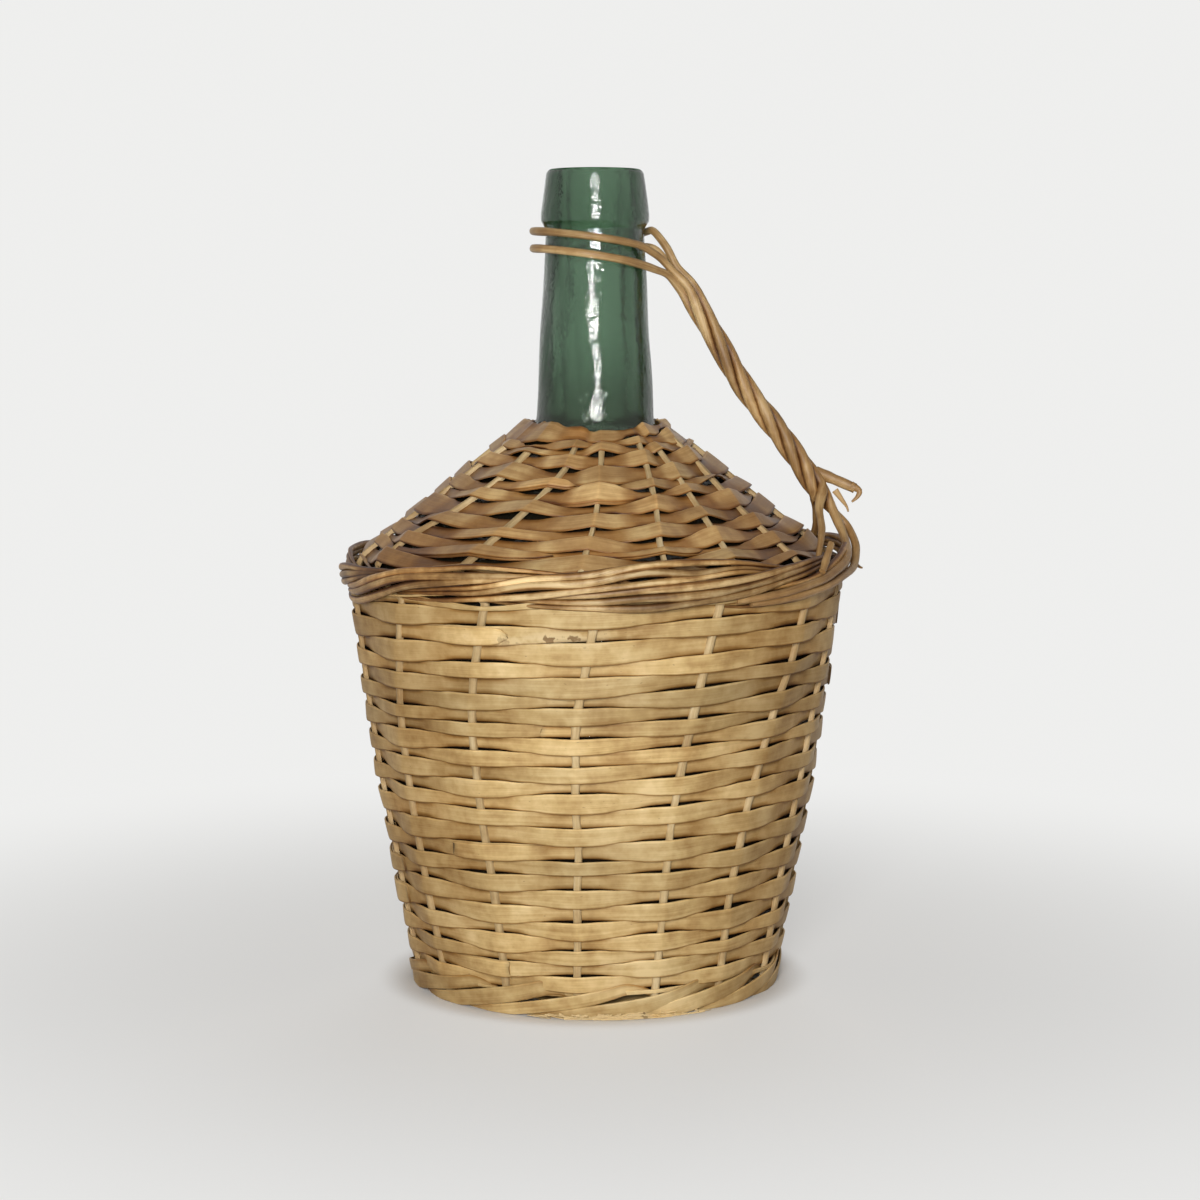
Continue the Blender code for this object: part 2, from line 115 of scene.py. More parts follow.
# The handle's canes: where a cane's legs start round the rope, in degrees, how far its loop is below the top
# at the right, the left and the back, and in mm its ways from the rope to the loop and back from behind it.
HANDLE_CANES = {
    "upper": ((80, 350), (0.0336, 0.0270, 0.0275), ((34.0, -3.2, 315.8), (28.9, -6.5, 321.0)),
              ((26.0, 5.0, 333.0), (31.5, 1.5, 326.0), (36.3, 0.8, 317.0))),
    "lower": ((170, 260), (0.0418, 0.0345, 0.0335), ((32.5, -4.5, 313.5),),
              ((27.0, 7.0, 325.0), (33.0, 4.0, 318.0), (37.0, 2.8, 312.5)))}
STRAND_RADIUS = 0.0029
FINE_ROPE_STEP = 0.002
FINE_CANE_STEP = 0.0016
CANE_HALF = 0.00178
CANE_SIDES = 16
CANE_GROOVE = 0.10
CANE_END_POINTS = 12
CANE_GRAIN = 2 * math.pi * 0.0017

# The rope's four legs, by whether each is outside and in front: degrees, mm above the rim and mm off it.
LEGS = {
    (True, False): (
        (-3.5, 13.0, 5.4), (-6.5, 6.7, 6.4), (-13, -1.8, 5.8), (-24.5, -4.8, 5.4), (-33.5, -7.3, 5.0),
        (-43.5, -9.0, 4.6), (-51.5, -10.3, 3.2), (-56.5, -10.8, 1.6)),
    (True, True): (
        (-5.5, 15.6, 1.8), (-11.5, 7.2, 2.8), (-22.5, 2.1, 5.6), (-33.5, -2.9, 5.8), (-39.5, -4.7, 5.6),
        (-48.5, -6.9, 5.2), (-55.5, -8.2, 3.6), (-60.5, -8.9, 1.8)),
    (False, True): ((-7.0, 22.4, -3.4), (-12.5, 14.6, -5.6), (-18.0, 7.5, -7.0), (-21.5, 1.5, -7.5)),
    (False, False): ((3, 21.0, -4.0), (9, 12.0, -5.4), (14, 5.0, -6.4), (18, 0.0, -7.0))}
LEG_CUT = 2

# Short cane ends: points in mm, radii at both ends in mm, and tone.
STUBS = (
    (((98, 1, 227), (107, -1, 223.4), (115.4, -2.5, 219.8)), 2.6, 2.4, 0.0),
    (((113.6, -2.5, 221.2), (117.2, -3, 218.8), (116.4, -3.4, 216.2), (113.9, -3.6, 213.9)), 1.9, 0.5, 0.6),
    (((106.5, -2.4, 219), (109.4, -2.6, 215.0), (111.8, -2.7, 211.6), (112.4, -3.0, 209.4)), 1.5, 0.4, 0.5),
    (((114.2, -6, 188.6), (116.8, -8, 185.6), (118.4, -9, 185.0)), 1.3, 0.4, 0.2),
    (((101.0, -50.2, 199.4), (98.8, -56.3, 194.6), (96.2, -63.6, 188.6)), 1.5, 1.7, 0.2))
STUB_SIDES = 10

# The stakes as real wood, and their section: across in halves of the width, and off in shares of the depth.
STAKE_WIDTH = 0.0033
STAKE_DEPTH = 0.0020
STAKE_OFF = 0.0003
STAKE_LET_IN = 0.0011
STAKE_POINTS = 260
STAKE_SECTION = np.array([
    (-1, -0.5), (-1, 0.05), (-0.72, 0.40), (0, 0.5), (0.72, 0.40), (1, 0.05), (1, -0.5), (0, -0.5)])
STAKE_GRAIN = (0.0017, 0.0023)

# How far the stakes stand from even places, in degrees, by length along the outline in mm and by stake.
SKEW_STAKES = (4, 8, 9, 10, 11, 12, 13, 14, 15)
SKEW = (
    (70, (0, 0, 3, 0.2, 1.1, -0.9, -1.6, -3.0, -2.5)),
    (110, (0, 0, 3, -1.4, 0.8, -0.1, -0.6, -3.4, -2.5)),
    (150, (0, 0, 2, -2.5, -1.2, 0.3, 0.1, -1.5, -1.3)),
    (190, (0, 0, 0, -2.4, -1.8, -0.1, 3.2, 3.9, 1.5)),
    (215, (0, 0, 0, -0.9, -1.0, 1.2, 5.1, 8.5, 4.5)),
    (247, (0, 0, 1, 1.7, 1.6, 2.7, 7.0, 10.5, 6.0)),
    (261, (0, -3, -6, -14, -8.0, -1.5, -5.9, -11.5, -13)),
    (280, (0, -3, -7, -13, -4.7, -1.0, -5.8, -11.6, -15)),
    (295, (0, -3, -6, -5.5, -0.6, -0.1, -4.6, -12, -17)),
    (310, (0, -2, -5, -0.2, 3.8, 0.1, -2.9, -12, -17)),
    (325, (0, -1, -1.5, 4.3, 8.2, -0.2, -0.8, -12, -15)),
    (345, (0, 0, 6, 6.3, 9.6, 0.4, 1.7, -12, -13)))

# How the basket leans to the right, and how it twists by length along its outline.
LEAN = 0.0026
TWIST_ALONG = (0.0, 0.20, 0.2533, 0.3537)
TWIST = np.radians((0.0, 0.0, 2.5, 8.5))

# The splints. Places along a weave are counted in stakes. A splint that lies on another is lifted off it.
SPLINT = 0.0009
NARROWEST = 0.0004
GAP = 0.00006
LIFT = 1.1 * SPLINT
LOOSE_LIFT = 1.15 * SPLINT
RISE_BEFORE, RISE_PAST = 0.55, 0.2
OVERLAP = (1.12, 1.45)
STEPS = 16
BEND_PLACES = np.array((-0.05, -0.02, 0, 0.02, 0.05))
LEAST_STEP = 0.002
TEETH = np.linspace(-1, 1, 9)
TOOTH = 0.006
TUCKED = 0.002
BLUNTEST = 0.03
SPLINT_GRAIN = 0.0045
GRAIN_START = 50

# The marks on a splint: its upper edge is pale, a painted highlight, its cut ends and its lower edge are
# dark, both painted shade, and it has pale crests, painted highlights, this far from a stake.
EDGE_HIGHLIGHT = 1.7
END_SHADE = -2.2
LOWER_EDGE_SHADE = 1.2
CREST_HIGHLIGHT_WIDTH = 0.022

# A weave's look: how far the splints swing and lie off the basket, how much wider they are over a stake and
# under it, how much more that varies under it, and how near to a stake they widen. Then how far they may go
# past their zone over and under a stake, how much they tuck in there, how far rows wander, how sharp bends
# are and how often, how far chords dip between stakes, how widths, tilts and tones vary, the painted shade
# under stakes and along seams, the painted highlights on the crests, how calm the last row is, and how far
# the rows' borders are from even ones, in mm, by turn.
BODY_ROWS = (
    (1.3, 0), (3.3, -1.7), (5.3, -0.7), (7.3, 0.2), (9.3, 0.6), (11.3, 3.0), (13.3, 3.2), (15.3, 3.3),
    (17.3, 1.7), (19.3, 1.1), (21.3, 1.1), (23.3, 3.9), (25.3, 4.5))
SHOULDER_ROWS = (
    (-0.2, -0.4), (0.8, 0.4), (1.8, -3.0), (2.8, -3.6), (3.8, -4.4), (4.8, -3.8), (5.8, -2.3), (6.8, -2.9),
    (7.8, -5.0), (8.8, -4.0), (9.8, -1.8), (10.8, -5.2), (11.8, -9.6), (12.06, -3.8), (12.3, 0.2),
    (12.56, -1.0), (12.66, -5.2), (12.72, -8.2), (12.8, -10.2), (12.90, -8.8), (13.06, -4.4), (13.3, -6.0))
BASE_LOOK = Look(
    kind="base", swing=0.0020, skin=0, over=0.0008, under=-0.0006, holes=1, opens=(0.3, 0.95),
    spare_low=(0, 0), spare_high=(0, 0), tuck=0, wobble=0.0003, crease=0.75, sharp=0.3, chord=0, width=0.15,
    curl=0.0001, tones=0.3, stain=0.3, seam=0.3, crest=0, calm=0, rows=((0, 0), (1, 0)))
BODY_LOOK = Look(
    kind="body", swing=0.00155, skin=0.0004, over=0.0006, under=-0.0003, holes=2.6, opens=(0.10, 0.80),
    spare_low=(0.0022, 0.0045), spare_high=(0.0045, 0.0080), tuck=0.30, wobble=0.00058, crease=0.90,
    sharp=0.7, chord=0.25, width=0.40, curl=0.00020, tones=0.55, stain=0.22, seam=1.0, crest=0.15, calm=0,
    rows=BODY_ROWS)
SHOULDER_LOOK = Look(
    kind="shoulder", swing=0.0014, skin=0.0005, over=0.0006, under=-0.0008, holes=1, opens=(0.05, 0.70),
    spare_low=(0.0025, 0.0065), spare_high=(0.0010, 0.0044), tuck=0.3, wobble=0.00115, crease=0.985,
    sharp=0.55, chord=0.85, width=1.0, curl=0.00045, tones=0.5, stain=0.9, seam=0.9, crest=1.3, calm=0.5,
    rows=SHOULDER_ROWS)
# How much the swing, the shade and the sharpness vary along every splint.
SWELL_NOISE, SHADE_NOISE, LINE_NOISE = 0.12, 0.35, 0.5
# The splints that start on top of the one before. The others end on top of the next.
BODY_HEADS = (3, 6, 9, 11, 13)
SHOULDER_HEADS = (3, 5)
# Loose ends: the places where they start and stop, tone, share of the width, and how long the rounded tip is.
BODY_LOOSE = (
    (145.62, 147.0, 0.7, 0.92, 0), (266.68, 267.0, 0.9, 0.92, 0), (355.0, 356.28, 1.3, 0.9, 0.14))
SHOULDER_LOOSE = (
    (25.0, 26.69, 0.5, 0.9, 0.30), (115.0, 116.51, 0.5, 0.95, 0.14), (101.0, 103.03, 1.2, 0.9, 0),
    (27.0, 28.62, 0.2, 0.9, 0.2))

# The worn patch: how far it is under the rim and across, and its half width and height.
WORN_DROP, WORN_ACROSS = 0.0205, -0.022
WORN_HALF = (0.024, 0.0032)

# The rim's strands: where each starts, and its height in mm, mm off and size share, by stakes' distance.
RIM_CANE = 0.0033
RIM_SIDES = 14
RIM_PERIOD = 5
RIM_STEPS = 24
RIM_WANDER = 0.00062
RIM_SOFT = 3
RIM_MIDDLE = 0.187
RIM_TAPER = 0.14
RIM_TOP_BEND = (0.4, 85)
RIM_STRANDS = (
    (1, ((-0.5, -4.6), (0, -2.6), (0.77, 0.9), (1.6, 4.6), (2.17, 4.9), (2.5, 4.5), (3.2, 0.5), (4, -5.5))),
    (2, ((-0.5, -6.0), (0, -6.0), (0.6, -5.2), (1.17, -3.6), (1.6, -2.1), (2.17, 0.6), (2.5, 2.4), (3, 2.6),
         (4, -4.5))),
    (4, ((-0.5, -9.0), (0.39, -6.8), (1.23, 2.7), (2, 4.9), (2.5, 5.0), (3.2, 1.5), (4, -7.5))))
RIM_OFFS = (
    (-0.5, -0.6), (0, 1.5), (0.5, 2.4), (1, 2.9), (1.5, 2.6), (2.0, 1.7), (2.5, -0.3), (3, -1.9), (4, -1.9))
RIM_SIZES = ((-0.5, 0.6), (0.1, 0.85), (0.6, 1.05), (1.9, 1), (2.5, 0.62), (3, 0.42), (4, 0.42))

# The foot's three splints, and the fibres under its front.
FOOT_STEPS = 12
FOOT_MIDDLE = 0.0050
FOOT_HALF = 0.0034
FOOT_LESS_BEHIND = 0.0016
FOOT_OFF = 0.0004
FOOT_SWING = 0.0018
FOOT_RISE = 0.0068
FOOT_LIFT_BEHIND = 0.0022
FOOT_CURL = 0.0003
FOOT_EDGE_HIGHLIGHT = 1.2
FOOT_GRAIN = 0.003
FLOOR_GAP = 0.0002
FIBRES = 70
FIBRE_POINTS = 7
FIBRE_SIDES = 6

# How close to the rope's middle a cane lies in the twist, and is pressed wider, from none to fully.
IN_TWIST = (-0.0062, -0.0042)
NEAR_TWIST = (-0.013, -0.005)

# The heights where the painted shade in the basket ends, the film grows pale and the mouth's top is worn,
# from none to fully.
BASKET_SHADE_END = (0.238, 0.249)
PALE_FILM = (0.246, 0.292)
WORN_TOP = (0.3586, 0.3598)

# The glass in fine steps, and the waves of its unevenness.
GLASS_TURNS = 96
GLASS_STEP = 0.004
GLASS_ARC_STEP = 0.0012
GLASS_WAVES = 14
GLASS_WAVE = 0.00009

# The materials' colours.
# Painted shade: the tints that darken the wood where its marks carry painted shade.
SHADE_TINT = (0.56, 0.42, 0.27, 1)
DEEP_SHADE_TINT = (0.28, 0.19, 0.12, 1)
SPECK_COLOUR = (0.16, 0.10, 0.05, 1)
BARE_COLOUR = (0.68, 0.54, 0.31, 1)
PIT_COLOUR = (0.22, 0.13, 0.055, 1)
GLASS_COLOUR = (0.95, 1.0, 0.96, 1)
FILM_DARK, FILM_LIGHT = (0.018, 0.066, 0.024), (0.125, 0.27, 0.145)
LOW_FILM_COLOUR = (0.030, 0.052, 0.022, 1)
# Painted shade: the near black haze of the glass inside the basket.
BASKET_SHADE_COLOUR = (0.020, 0.016, 0.010, 1)
# Painted shade on the bore's grazing sides.
BORE_SHADE_COLOUR = (0.006, 0.014, 0.007, 1)
ABSORBED_COLOUR = (0.092, 0.323, 0.138, 1)
FLOOR_COLOUR = (0.82, 0.81, 0.79, 1)
BACKGROUND = (0.86, 0.86, 0.85, 1)
LIGHT_COLOUR = (1.0, 0.99, 0.97, 1)
LIGHT_STRENGTH = 0.065

# The camera, and the lamps: place, width and height, power, what they light, and colour. Those for gloss show
# in the glass, as narrow streaks.
CAMERA_PLACE = (0.0022, -1.200, 0.299)
CAMERA_DOWN = 6.15
CAMERA_LENS = 81.06
LAMPS_LOOK_AT = (0.0, 0.0, 0.18)
WHITE, WARM = (1, 1, 1), (1.0, 0.93, 0.83)
LAMPS = {
    "key": ((-0.17, -1.70, 0.58), (0.42, 0.55), 26.8, "diffuse", WHITE),
    "strip_1": ((-0.115, -1.50, 0.36), (0.028, 0.90), 11, "glossy", WHITE),
    "strip_2": ((-0.045, -1.50, 0.36), (0.060, 0.90), 20, "glossy", WHITE),
    "strip_3": ((0.035, -1.50, 0.36), (0.022, 0.90), 8, "glossy", WHITE),
    "back": ((0.20, 1.65, 0.80), (0.80, 0.80), 10, "diffuse", WHITE),
    "side_left": ((-1.45, 0.90, 0.80), (0.90, 1.20), 2.2, "diffuse", WARM),
    "side_right": ((1.45, 0.90, 0.80), (0.90, 1.20), 2.2, "diffuse", WARM)}

# The seed of each kind of random draws. The next ones belong to the next pieces of the kind.
SEEDS = {
    "body": 42, "shoulder": 43, "base": 44, "stakes": 141, "rim": 241, "foot": 341, "fibres": 391,
    "handle": 441, "stubs": 491, "glass": 541}


def draws(kind, number=0):
    return np.random.default_rng(SEEDS[kind] + number)


def wander(rng, count, size):
    """A smooth random function of a place, with a new random value at each whole number."""
    knots = rng.normal(0, size, count + 4)

    def value(place):
        place = np.clip(np.asarray(place, float) + 1, 0, count + 1.999)
        i = np.floor(place).astype(int)
        t = place - i
        a, b, c, d = knots[np.maximum(i - 1, 0)], knots[i], knots[i + 1], knots[i + 2]
        return b + 0.5 * t * (c - a + t * (2 * a - 5 * b + 4 * c - d + t * (3 * (b - c) + d - a)))

    return value


def smooth(values, low, high):
    t = np.clip((values - low) / (high - low), 0, 1)
    return t * t * (3 - 2 * t)


def unit(vectors):
    return vectors / np.linalg.norm(vectors, axis=-1, keepdims=True)


def walk_of(points):
    """How far it is along a line from its first point to each."""
    return np.concatenate(([0], np.cumsum(np.linalg.norm(np.diff(points, axis=0), axis=1))))


def walk_round(points):
    return walk_of(np.vstack([points, points[:1]]))


def circle(count):
    return np.linspace(0, 2 * np.pi, count, endpoint=False)


def around(radius, angle, height):
    return np.stack([radius * np.cos(angle), radius * np.sin(angle), height + 0 * radius], -1)


# A flat splint's section: across in halves of its width, and outward in shares of its thickness.
SECTION = np.array([
    (-1, -0.25), (-0.985, 0.2), (-0.93, 0.42), (-0.78, 0.48), (-0.3, 0.53), (0.3, 0.53), (0.78, 0.48),
    (0.93, 0.42), (0.985, 0.2), (1, -0.25), (0.93, -0.5), (0.3, -0.5), (-0.3, -0.5), (-0.93, -0.5)])
ACROSS, OUTWARD = SECTION.T
SECTION_WALK = walk_round(SECTION * (1, 0.2))
# Masks across the section: the upper edge for a painted highlight, the lower edge and the seams for painted
# shade.
SECTION_EDGE_HIGHLIGHT = smooth(ACROSS, 0.80, 0.96) * (OUTWARD > 0)
SECTION_LOWER_EDGE_SHADE = smooth(-ACROSS, 0.80, 0.985)
SECTION_SEAM_SHADE = smooth(np.abs(ACROSS), 0.30, 0.95)


class Outline:
    """Straight runs with rounded corners in the (radius, height) half plane, sampled along their length."""

    LEAST_ARC_POINTS = 6
    SAME_POINT = 1e-7
    NORMAL_REACH = 0.0012

    def __init__(self, corners, bends, step=0.0004):
        corners = [np.array(c, float) for c in corners]
        points = [corners[0]]
        self.starts = [0.0]
        for before, corner, after, bend in zip(corners, corners[1:], corners[2:], bends):
            way_in, way_out = unit(corner - before), unit(after - corner)
            turn = math.atan2(way_in[0] * way_out[1] - way_in[1] * way_out[0], way_in @ way_out)
            start = corner - way_in * bend * math.tan(abs(turn) / 2)
            centre = start + np.array((-way_in[1], way_in[0])) * math.copysign(bend, turn)
            length = self.starts[-1] + np.linalg.norm(start - points[-1])
            self.starts += [length, length + bend * abs(turn)]
            count = max(self.LEAST_ARC_POINTS, int(bend * abs(turn) / step))
            spoke = start - centre
            angle = turn * np.arange(1, count + 1)[:, None] / count
            arc = centre + np.cos(angle) * spoke + np.sin(angle) * np.array((-spoke[1], spoke[0]))
            points += [start, *arc]
        rough = np.array([*points, corners[-1]])
        walk = walk_of(rough)
        keep = np.concatenate(([True], np.diff(walk) > self.SAME_POINT))
        self.walk, self.points = walk[keep], rough[keep]
        self.length = self.walk[-1]

    def place(self, along):
        """The radius and height at these lengths. Past an end the last run goes on."""
        along = np.asarray(along, float)
        inside = np.clip(along, 0, self.length)
        found = np.stack([np.interp(inside, self.walk, self.points[:, i]) for i in (0, 1)], -1)
        head, tail = unit(self.points[1] - self.points[0]), unit(self.points[-1] - self.points[-2])
        found = found + np.minimum(along, 0)[..., None] * head
        return found + np.maximum(along - self.length, 0)[..., None] * tail

    def normal(self, along):
        """The outward normal at these lengths."""
        way = unit(self.place(along + self.NORMAL_REACH) - self.place(along - self.NORMAL_REACH))
        return np.stack([way[..., 1], -way[..., 0]], -1)


def on_line(start, end, radius):
    return start + (end - start) * ((radius - start[0]) / (end[0] - start[0]))


def basket_corners():
    rim = np.array((RIM_RADIUS, RIM_HEIGHT))
    root = np.array((NECK_ROOT_RADIUS, NECK_ROOT_HEIGHT))
    return [
        np.array((STAKE_START, FLOOR_RISE)), np.array((FOOT_RADIUS, FLOOR_RISE)),
        np.array((BELLY_RADIUS, BELLY_HEIGHT)), rim, on_line(rim, root, NECK_ROOT_RADIUS + NECK_CLEARANCE)]


def set_in(corners, distance):
    """The corners of the same outline, this far inside it."""
    moved = []
    for i, corner in enumerate(corners):
        near = corners[max(i - 1, 0):i + 2]
        ways = [unit(b - a) for a, b in zip(near, near[1:])]
        normals = [np.array((way[1], -way[0])) for way in ways]
        mitre = unit(sum(normals))
        moved.append(corner - mitre * (distance / (mitre @ normals[0])))
    return moved


BASKET = Outline(basket_corners(), (FOOT_BEND, BELLY_BEND, RIM_BEND))
BODY_ALONG = BASKET.starts[2]
RIM_ALONG = (BASKET.starts[5] + BASKET.starts[6]) / 2
# The body's lower run is straight between these two lengths past the foot's bend.
LOW_LENGTHS = (0.002, 0.010)
LOW_ENDS = [BASKET.place(BODY_ALONG + length) for length in LOW_LENGTHS]
LOW_WAY = unit(LOW_ENDS[1] - LOW_ENDS[0])
LOW_START = LOW_ENDS[0] - LOW_WAY * LOW_LENGTHS[0]
FLOOR_ALONG = BODY_ALONG - LOW_START[1] / LOW_WAY[1]
FOOT_TOP = FLOOR_ALONG + FOOT_ZONE
# The weaves' zones, as lengths along the outline.
RIM_MARGIN = 0.0008
BASE_ZONE = (BASE_WEAVE_START - STAKE_START, FOOT_RADIUS - BASE_WEAVE_MARGIN - STAKE_START)
BODY_ZONE = (FOOT_TOP, RIM_ALONG - RIM_ZONE / 2 - RIM_MARGIN)
SHOULDER_ZONE = (RIM_ALONG + RIM_ZONE / 2 + RIM_MARGIN, BASKET.length)


def stake_angle(place):
    return START_ANGLE + 2 * np.pi * np.asarray(place, float) / STAKES


def skew(along, angle):
    """How far round the strips stand from even places, in radians."""
    place = (angle - START_ANGLE) / (2 * np.pi) * STAKES
    spot = np.interp(along * 1000, [row[0] for row in SKEW], range(len(SKEW)))
    shares = [np.maximum(1 - np.abs(spot - i), 0) for i in range(len(SKEW))]
    return np.radians(sum(share * np.interp(place, SKEW_STAKES, turns, period=STAKES)
                          for share, (_, turns) in zip(shares, SKEW)))


def on_basket(along, angle, off):
    """Points on the basket: this far along its outline, at this angle, and off it on the outside."""
    along, angle, off = np.broadcast_arrays(np.asarray(along, float), angle, off)
    angle = angle + skew(along, angle)
    rise = np.clip((along - FOOT_TOP) / (BASKET.length - FOOT_TOP), 0, 1)
    along = along + LEAN * np.cos(angle) * np.sin(np.pi * rise)
    angle = angle + np.interp(along, TWIST_ALONG, TWIST)
    place = BASKET.place(along) + BASKET.normal(along) * off[..., None]
    return around(place[..., 0], angle, place[..., 1])


def on_foot(along, angle, off):
    """The same off the body's lower run, carried straight on to the floor."""
    along, angle, off = np.broadcast_arrays(np.asarray(along, float), angle, off)
    normal = np.array((LOW_WAY[1], -LOW_WAY[0]))
    place = LOW_START + (along - BODY_ALONG)[..., None] * LOW_WAY + off[..., None] * normal
    return around(place[..., 0], angle, np.maximum(place[..., 1], FLOOR_GAP))


def on_rim(height, angle, off):
    """Points on the rim's upright band: this high above its middle, and off the stakes on the outside."""
    height, angle, off = np.broadcast_arrays(np.asarray(height, float), angle, off)
    up = np.maximum(height, 0)
    bend = RIM_TOP_BEND[0] * up + RIM_TOP_BEND[1] * up ** 2
    radius = RIM_RADIUS + off + RIM_TAPER * np.minimum(height, 0) - RIM_TAPER * bend
    rise = (RIM_ALONG - FOOT_TOP) / (BASKET.length - FOOT_TOP)
    height = RIM_MIDDLE + height + LEAN * np.cos(angle) * math.sin(math.pi * rise)
    return around(radius, angle + np.interp(RIM_ALONG, TWIST_ALONG, TWIST), height)


def add_object(name, data):
    made = bpy.data.objects.new(name, data)
    bpy.context.scene.collection.objects.link(made)
    return made


class Piece:
    """Points and faces of one visible piece, with its grain's lengths and its marks."""

    SHARP = math.radians(50)

    def __init__(self, name):
        self.name = name
        self.points, self.faces, self.uvs, self.marks = [], [], [], []
        self.count = 0

    def sweep(self, rings, along, across, marks, closed=False):
        """Adds sections. along and across are the grain's lengths, and marks are its tone, painted shade and
        wear.
        """
        n, k, _ = rings.shape
        index = self.count + np.arange(n * k).reshape(n, k)
        here, there = (index, np.roll(index, -1, 0)) if closed else (index[:-1], index[1:])
        quads = np.stack([here, np.roll(here, -1, 1), np.roll(there, -1, 1), there], -1)
        u = np.append(along, along[-1] + (along[-1] - along[-2])) if closed else along
        grid = np.stack(np.meshgrid(u, across, indexing="ij"), -1)
        uvs = np.stack([grid[:-1, :-1], grid[:-1, 1:], grid[1:, 1:], grid[1:, :-1]], 2)
        a, b, c, d = (rings.reshape(-1, 3)[quads[..., i] - self.count] for i in range(4))
        volume = (np.cross(b - a, c - a) * a).sum() + (np.cross(c - a, d - a) * a).sum()
        order = (0, 1, 2, 3) if volume > 0 else (3, 2, 1, 0)
        self.faces += quads[..., order].reshape(-1, 4).tolist()
        self.uvs.append(uvs[:, :, order].reshape(-1, 2))
        if not closed:
            for row, way in ((0, 1), (n - 1, -1)):
                cap = index[row][::-way] if volume > 0 else index[row][::way]
                self.faces.append(cap.tolist())
                self.uvs.append(np.stack([np.full(k, u[row]), np.linspace(0, across[-1], k)], -1))
        self.points.append(rings.reshape(-1, 3))
        self.marks.append(np.stack([np.broadcast_to(mark, (n, k)) for mark in marks], -1).reshape(-1, 3))
        self.count += n * k

    def tube(self, line, sides, radii, marks, corners, others, groove=0.0, closed=False):
        """Adds a cane along a line, of these radii along its sides and these others across them."""
        way = unit(np.roll(line, -1, 0) - np.roll(line, 1, 0) if closed else np.gradient(line, axis=0))
        first = unit(sides - way * (sides * way).sum(1, keepdims=True))
        second = np.cross(way, first)
        angle = circle(corners)
        dent = 1 - groove * np.exp(-((angle - np.pi / 2) / 0.45) ** 2)
        rings = (line[:, None] + first[:, None] * (np.cos(angle) * radii[:, None] * dent)[..., None]
                 + second[:, None] * (np.sin(angle) * others[:, None] * dent)[..., None])
        across = np.linspace(0, CANE_GRAIN, corners + 1)
        self.sweep(rings, walk_of(line) + self.count * 0.37, across, marks, closed)

    def finish(self, material, slot, node_name):
        mesh = bpy.data.meshes.new(self.name)
        mesh.from_pydata(np.concatenate(self.points).tolist(), [], self.faces)
        layer = mesh.uv_layers.new(name="strip")
        layer.data.foreach_set("uv", np.concatenate(self.uvs).astype(np.float32).ravel())
        marks = mesh.attributes.new("marks", "FLOAT_VECTOR", "POINT")
        marks.data.foreach_set("vector", np.concatenate(self.marks).astype(np.float32).ravel())
        mesh.materials.append(material)
        mesh.shade_smooth()
        mesh.set_sharp_from_angle(angle=self.SHARP)
        made = add_object(self.name, mesh)
        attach(made, "root")
        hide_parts(node_name)


class Tree:
    """Short ways to add nodes to the tree of a material or of the world."""

    def __init__(self, owner):
        owner.use_nodes = True
        self.nodes, self.links = owner.node_tree.nodes, owner.node_tree.links

    def feed(self, node, inputs):
        """Gives each of these inputs its value, or links it to another node's output."""
        for key, value in inputs.items():
            if isinstance(value, bpy.types.NodeSocket):
                self.links.new(value, node.inputs[key])
            else:
                node.inputs[key].default_value = value

    def node(self, kind, inputs=None, **settings):
        """Adds a node and returns its outputs."""
        made = self.nodes.new("ShaderNode" + kind)
        for key, value in settings.items():
            setattr(made, key, value)
        self.feed(made, inputs or {})
        return made.outputs

    def noise(self, vector, scale, detail, rough, stretch=None):
        if stretch:
            vector = self.node("Mapping", {"Vector": vector, "Scale": stretch})[0]
        inputs = {"Vector": vector, "Scale": scale, "Detail": detail, "Roughness": rough}
        return self.node("TexNoise", inputs)["Fac"]

    def maths(self, operation, *values, clamp=False):
        return self.node("Math", dict(enumerate(values)), operation=operation, use_clamp=clamp)[0]

    def times(self, a, b, clamp=False):
        return self.maths("MULTIPLY", a, b, clamp=clamp)

    def total(self, start, *terms):
        """The start, and each value times its weight."""
        for value, weight in terms:
            start = self.maths("MULTIPLY_ADD", value, weight, start)
        return start

    def band(self, value, low, high):
        inputs = {"Value": value, "From Min": low, "From Max": high}
        return self.node("MapRange", inputs, interpolation_type="SMOOTHSTEP")["Result"]

    def mix(self, factor, a, b, how="MIX"):
        return self.node("Mix", {0: factor, 6: a, 7: b}, data_type="RGBA", blend_type=how)[2]

    def mix_shaders(self, share, a, b):
        return self.node("MixShader", {0: share, 1: a, 2: b})[0]

    def ramp(self, factor, stops):
        made = self.nodes.new("ShaderNodeValToRGB")
        self.feed(made, {"Fac": factor})
        elements = made.color_ramp.elements
        while len(elements) < len(stops):
            elements.new(0.5)
        for element, (place, colour) in zip(elements, stops):
            element.position = place
            element.color = (*colour, 1)
        return made.outputs["Color"]

    def place(self):
        return self.node("TexCoord")["Object"]

    def parts(self, vector):
        return self.node("SeparateXYZ", {0: vector})

    def bump(self, height, strength, distance):
        return self.node("Bump", {"Height": height, "Strength": strength, "Distance": distance})[0]

    def background_rays(self):
        """1 for the rays that see the pale background: the camera's, and those off and through the glass."""
        path = self.node("LightPath")
        direct = self.maths("MAXIMUM", path["Is Camera Ray"], path["Is Glossy Ray"])
        return self.maths("MAXIMUM", direct, path["Is Transmission Ray"])


def new_material(name):
    material = bpy.data.materials.new(name)
    tree = Tree(material)
    return material, tree, tree.nodes["Principled BSDF"], tree.nodes["Material Output"]


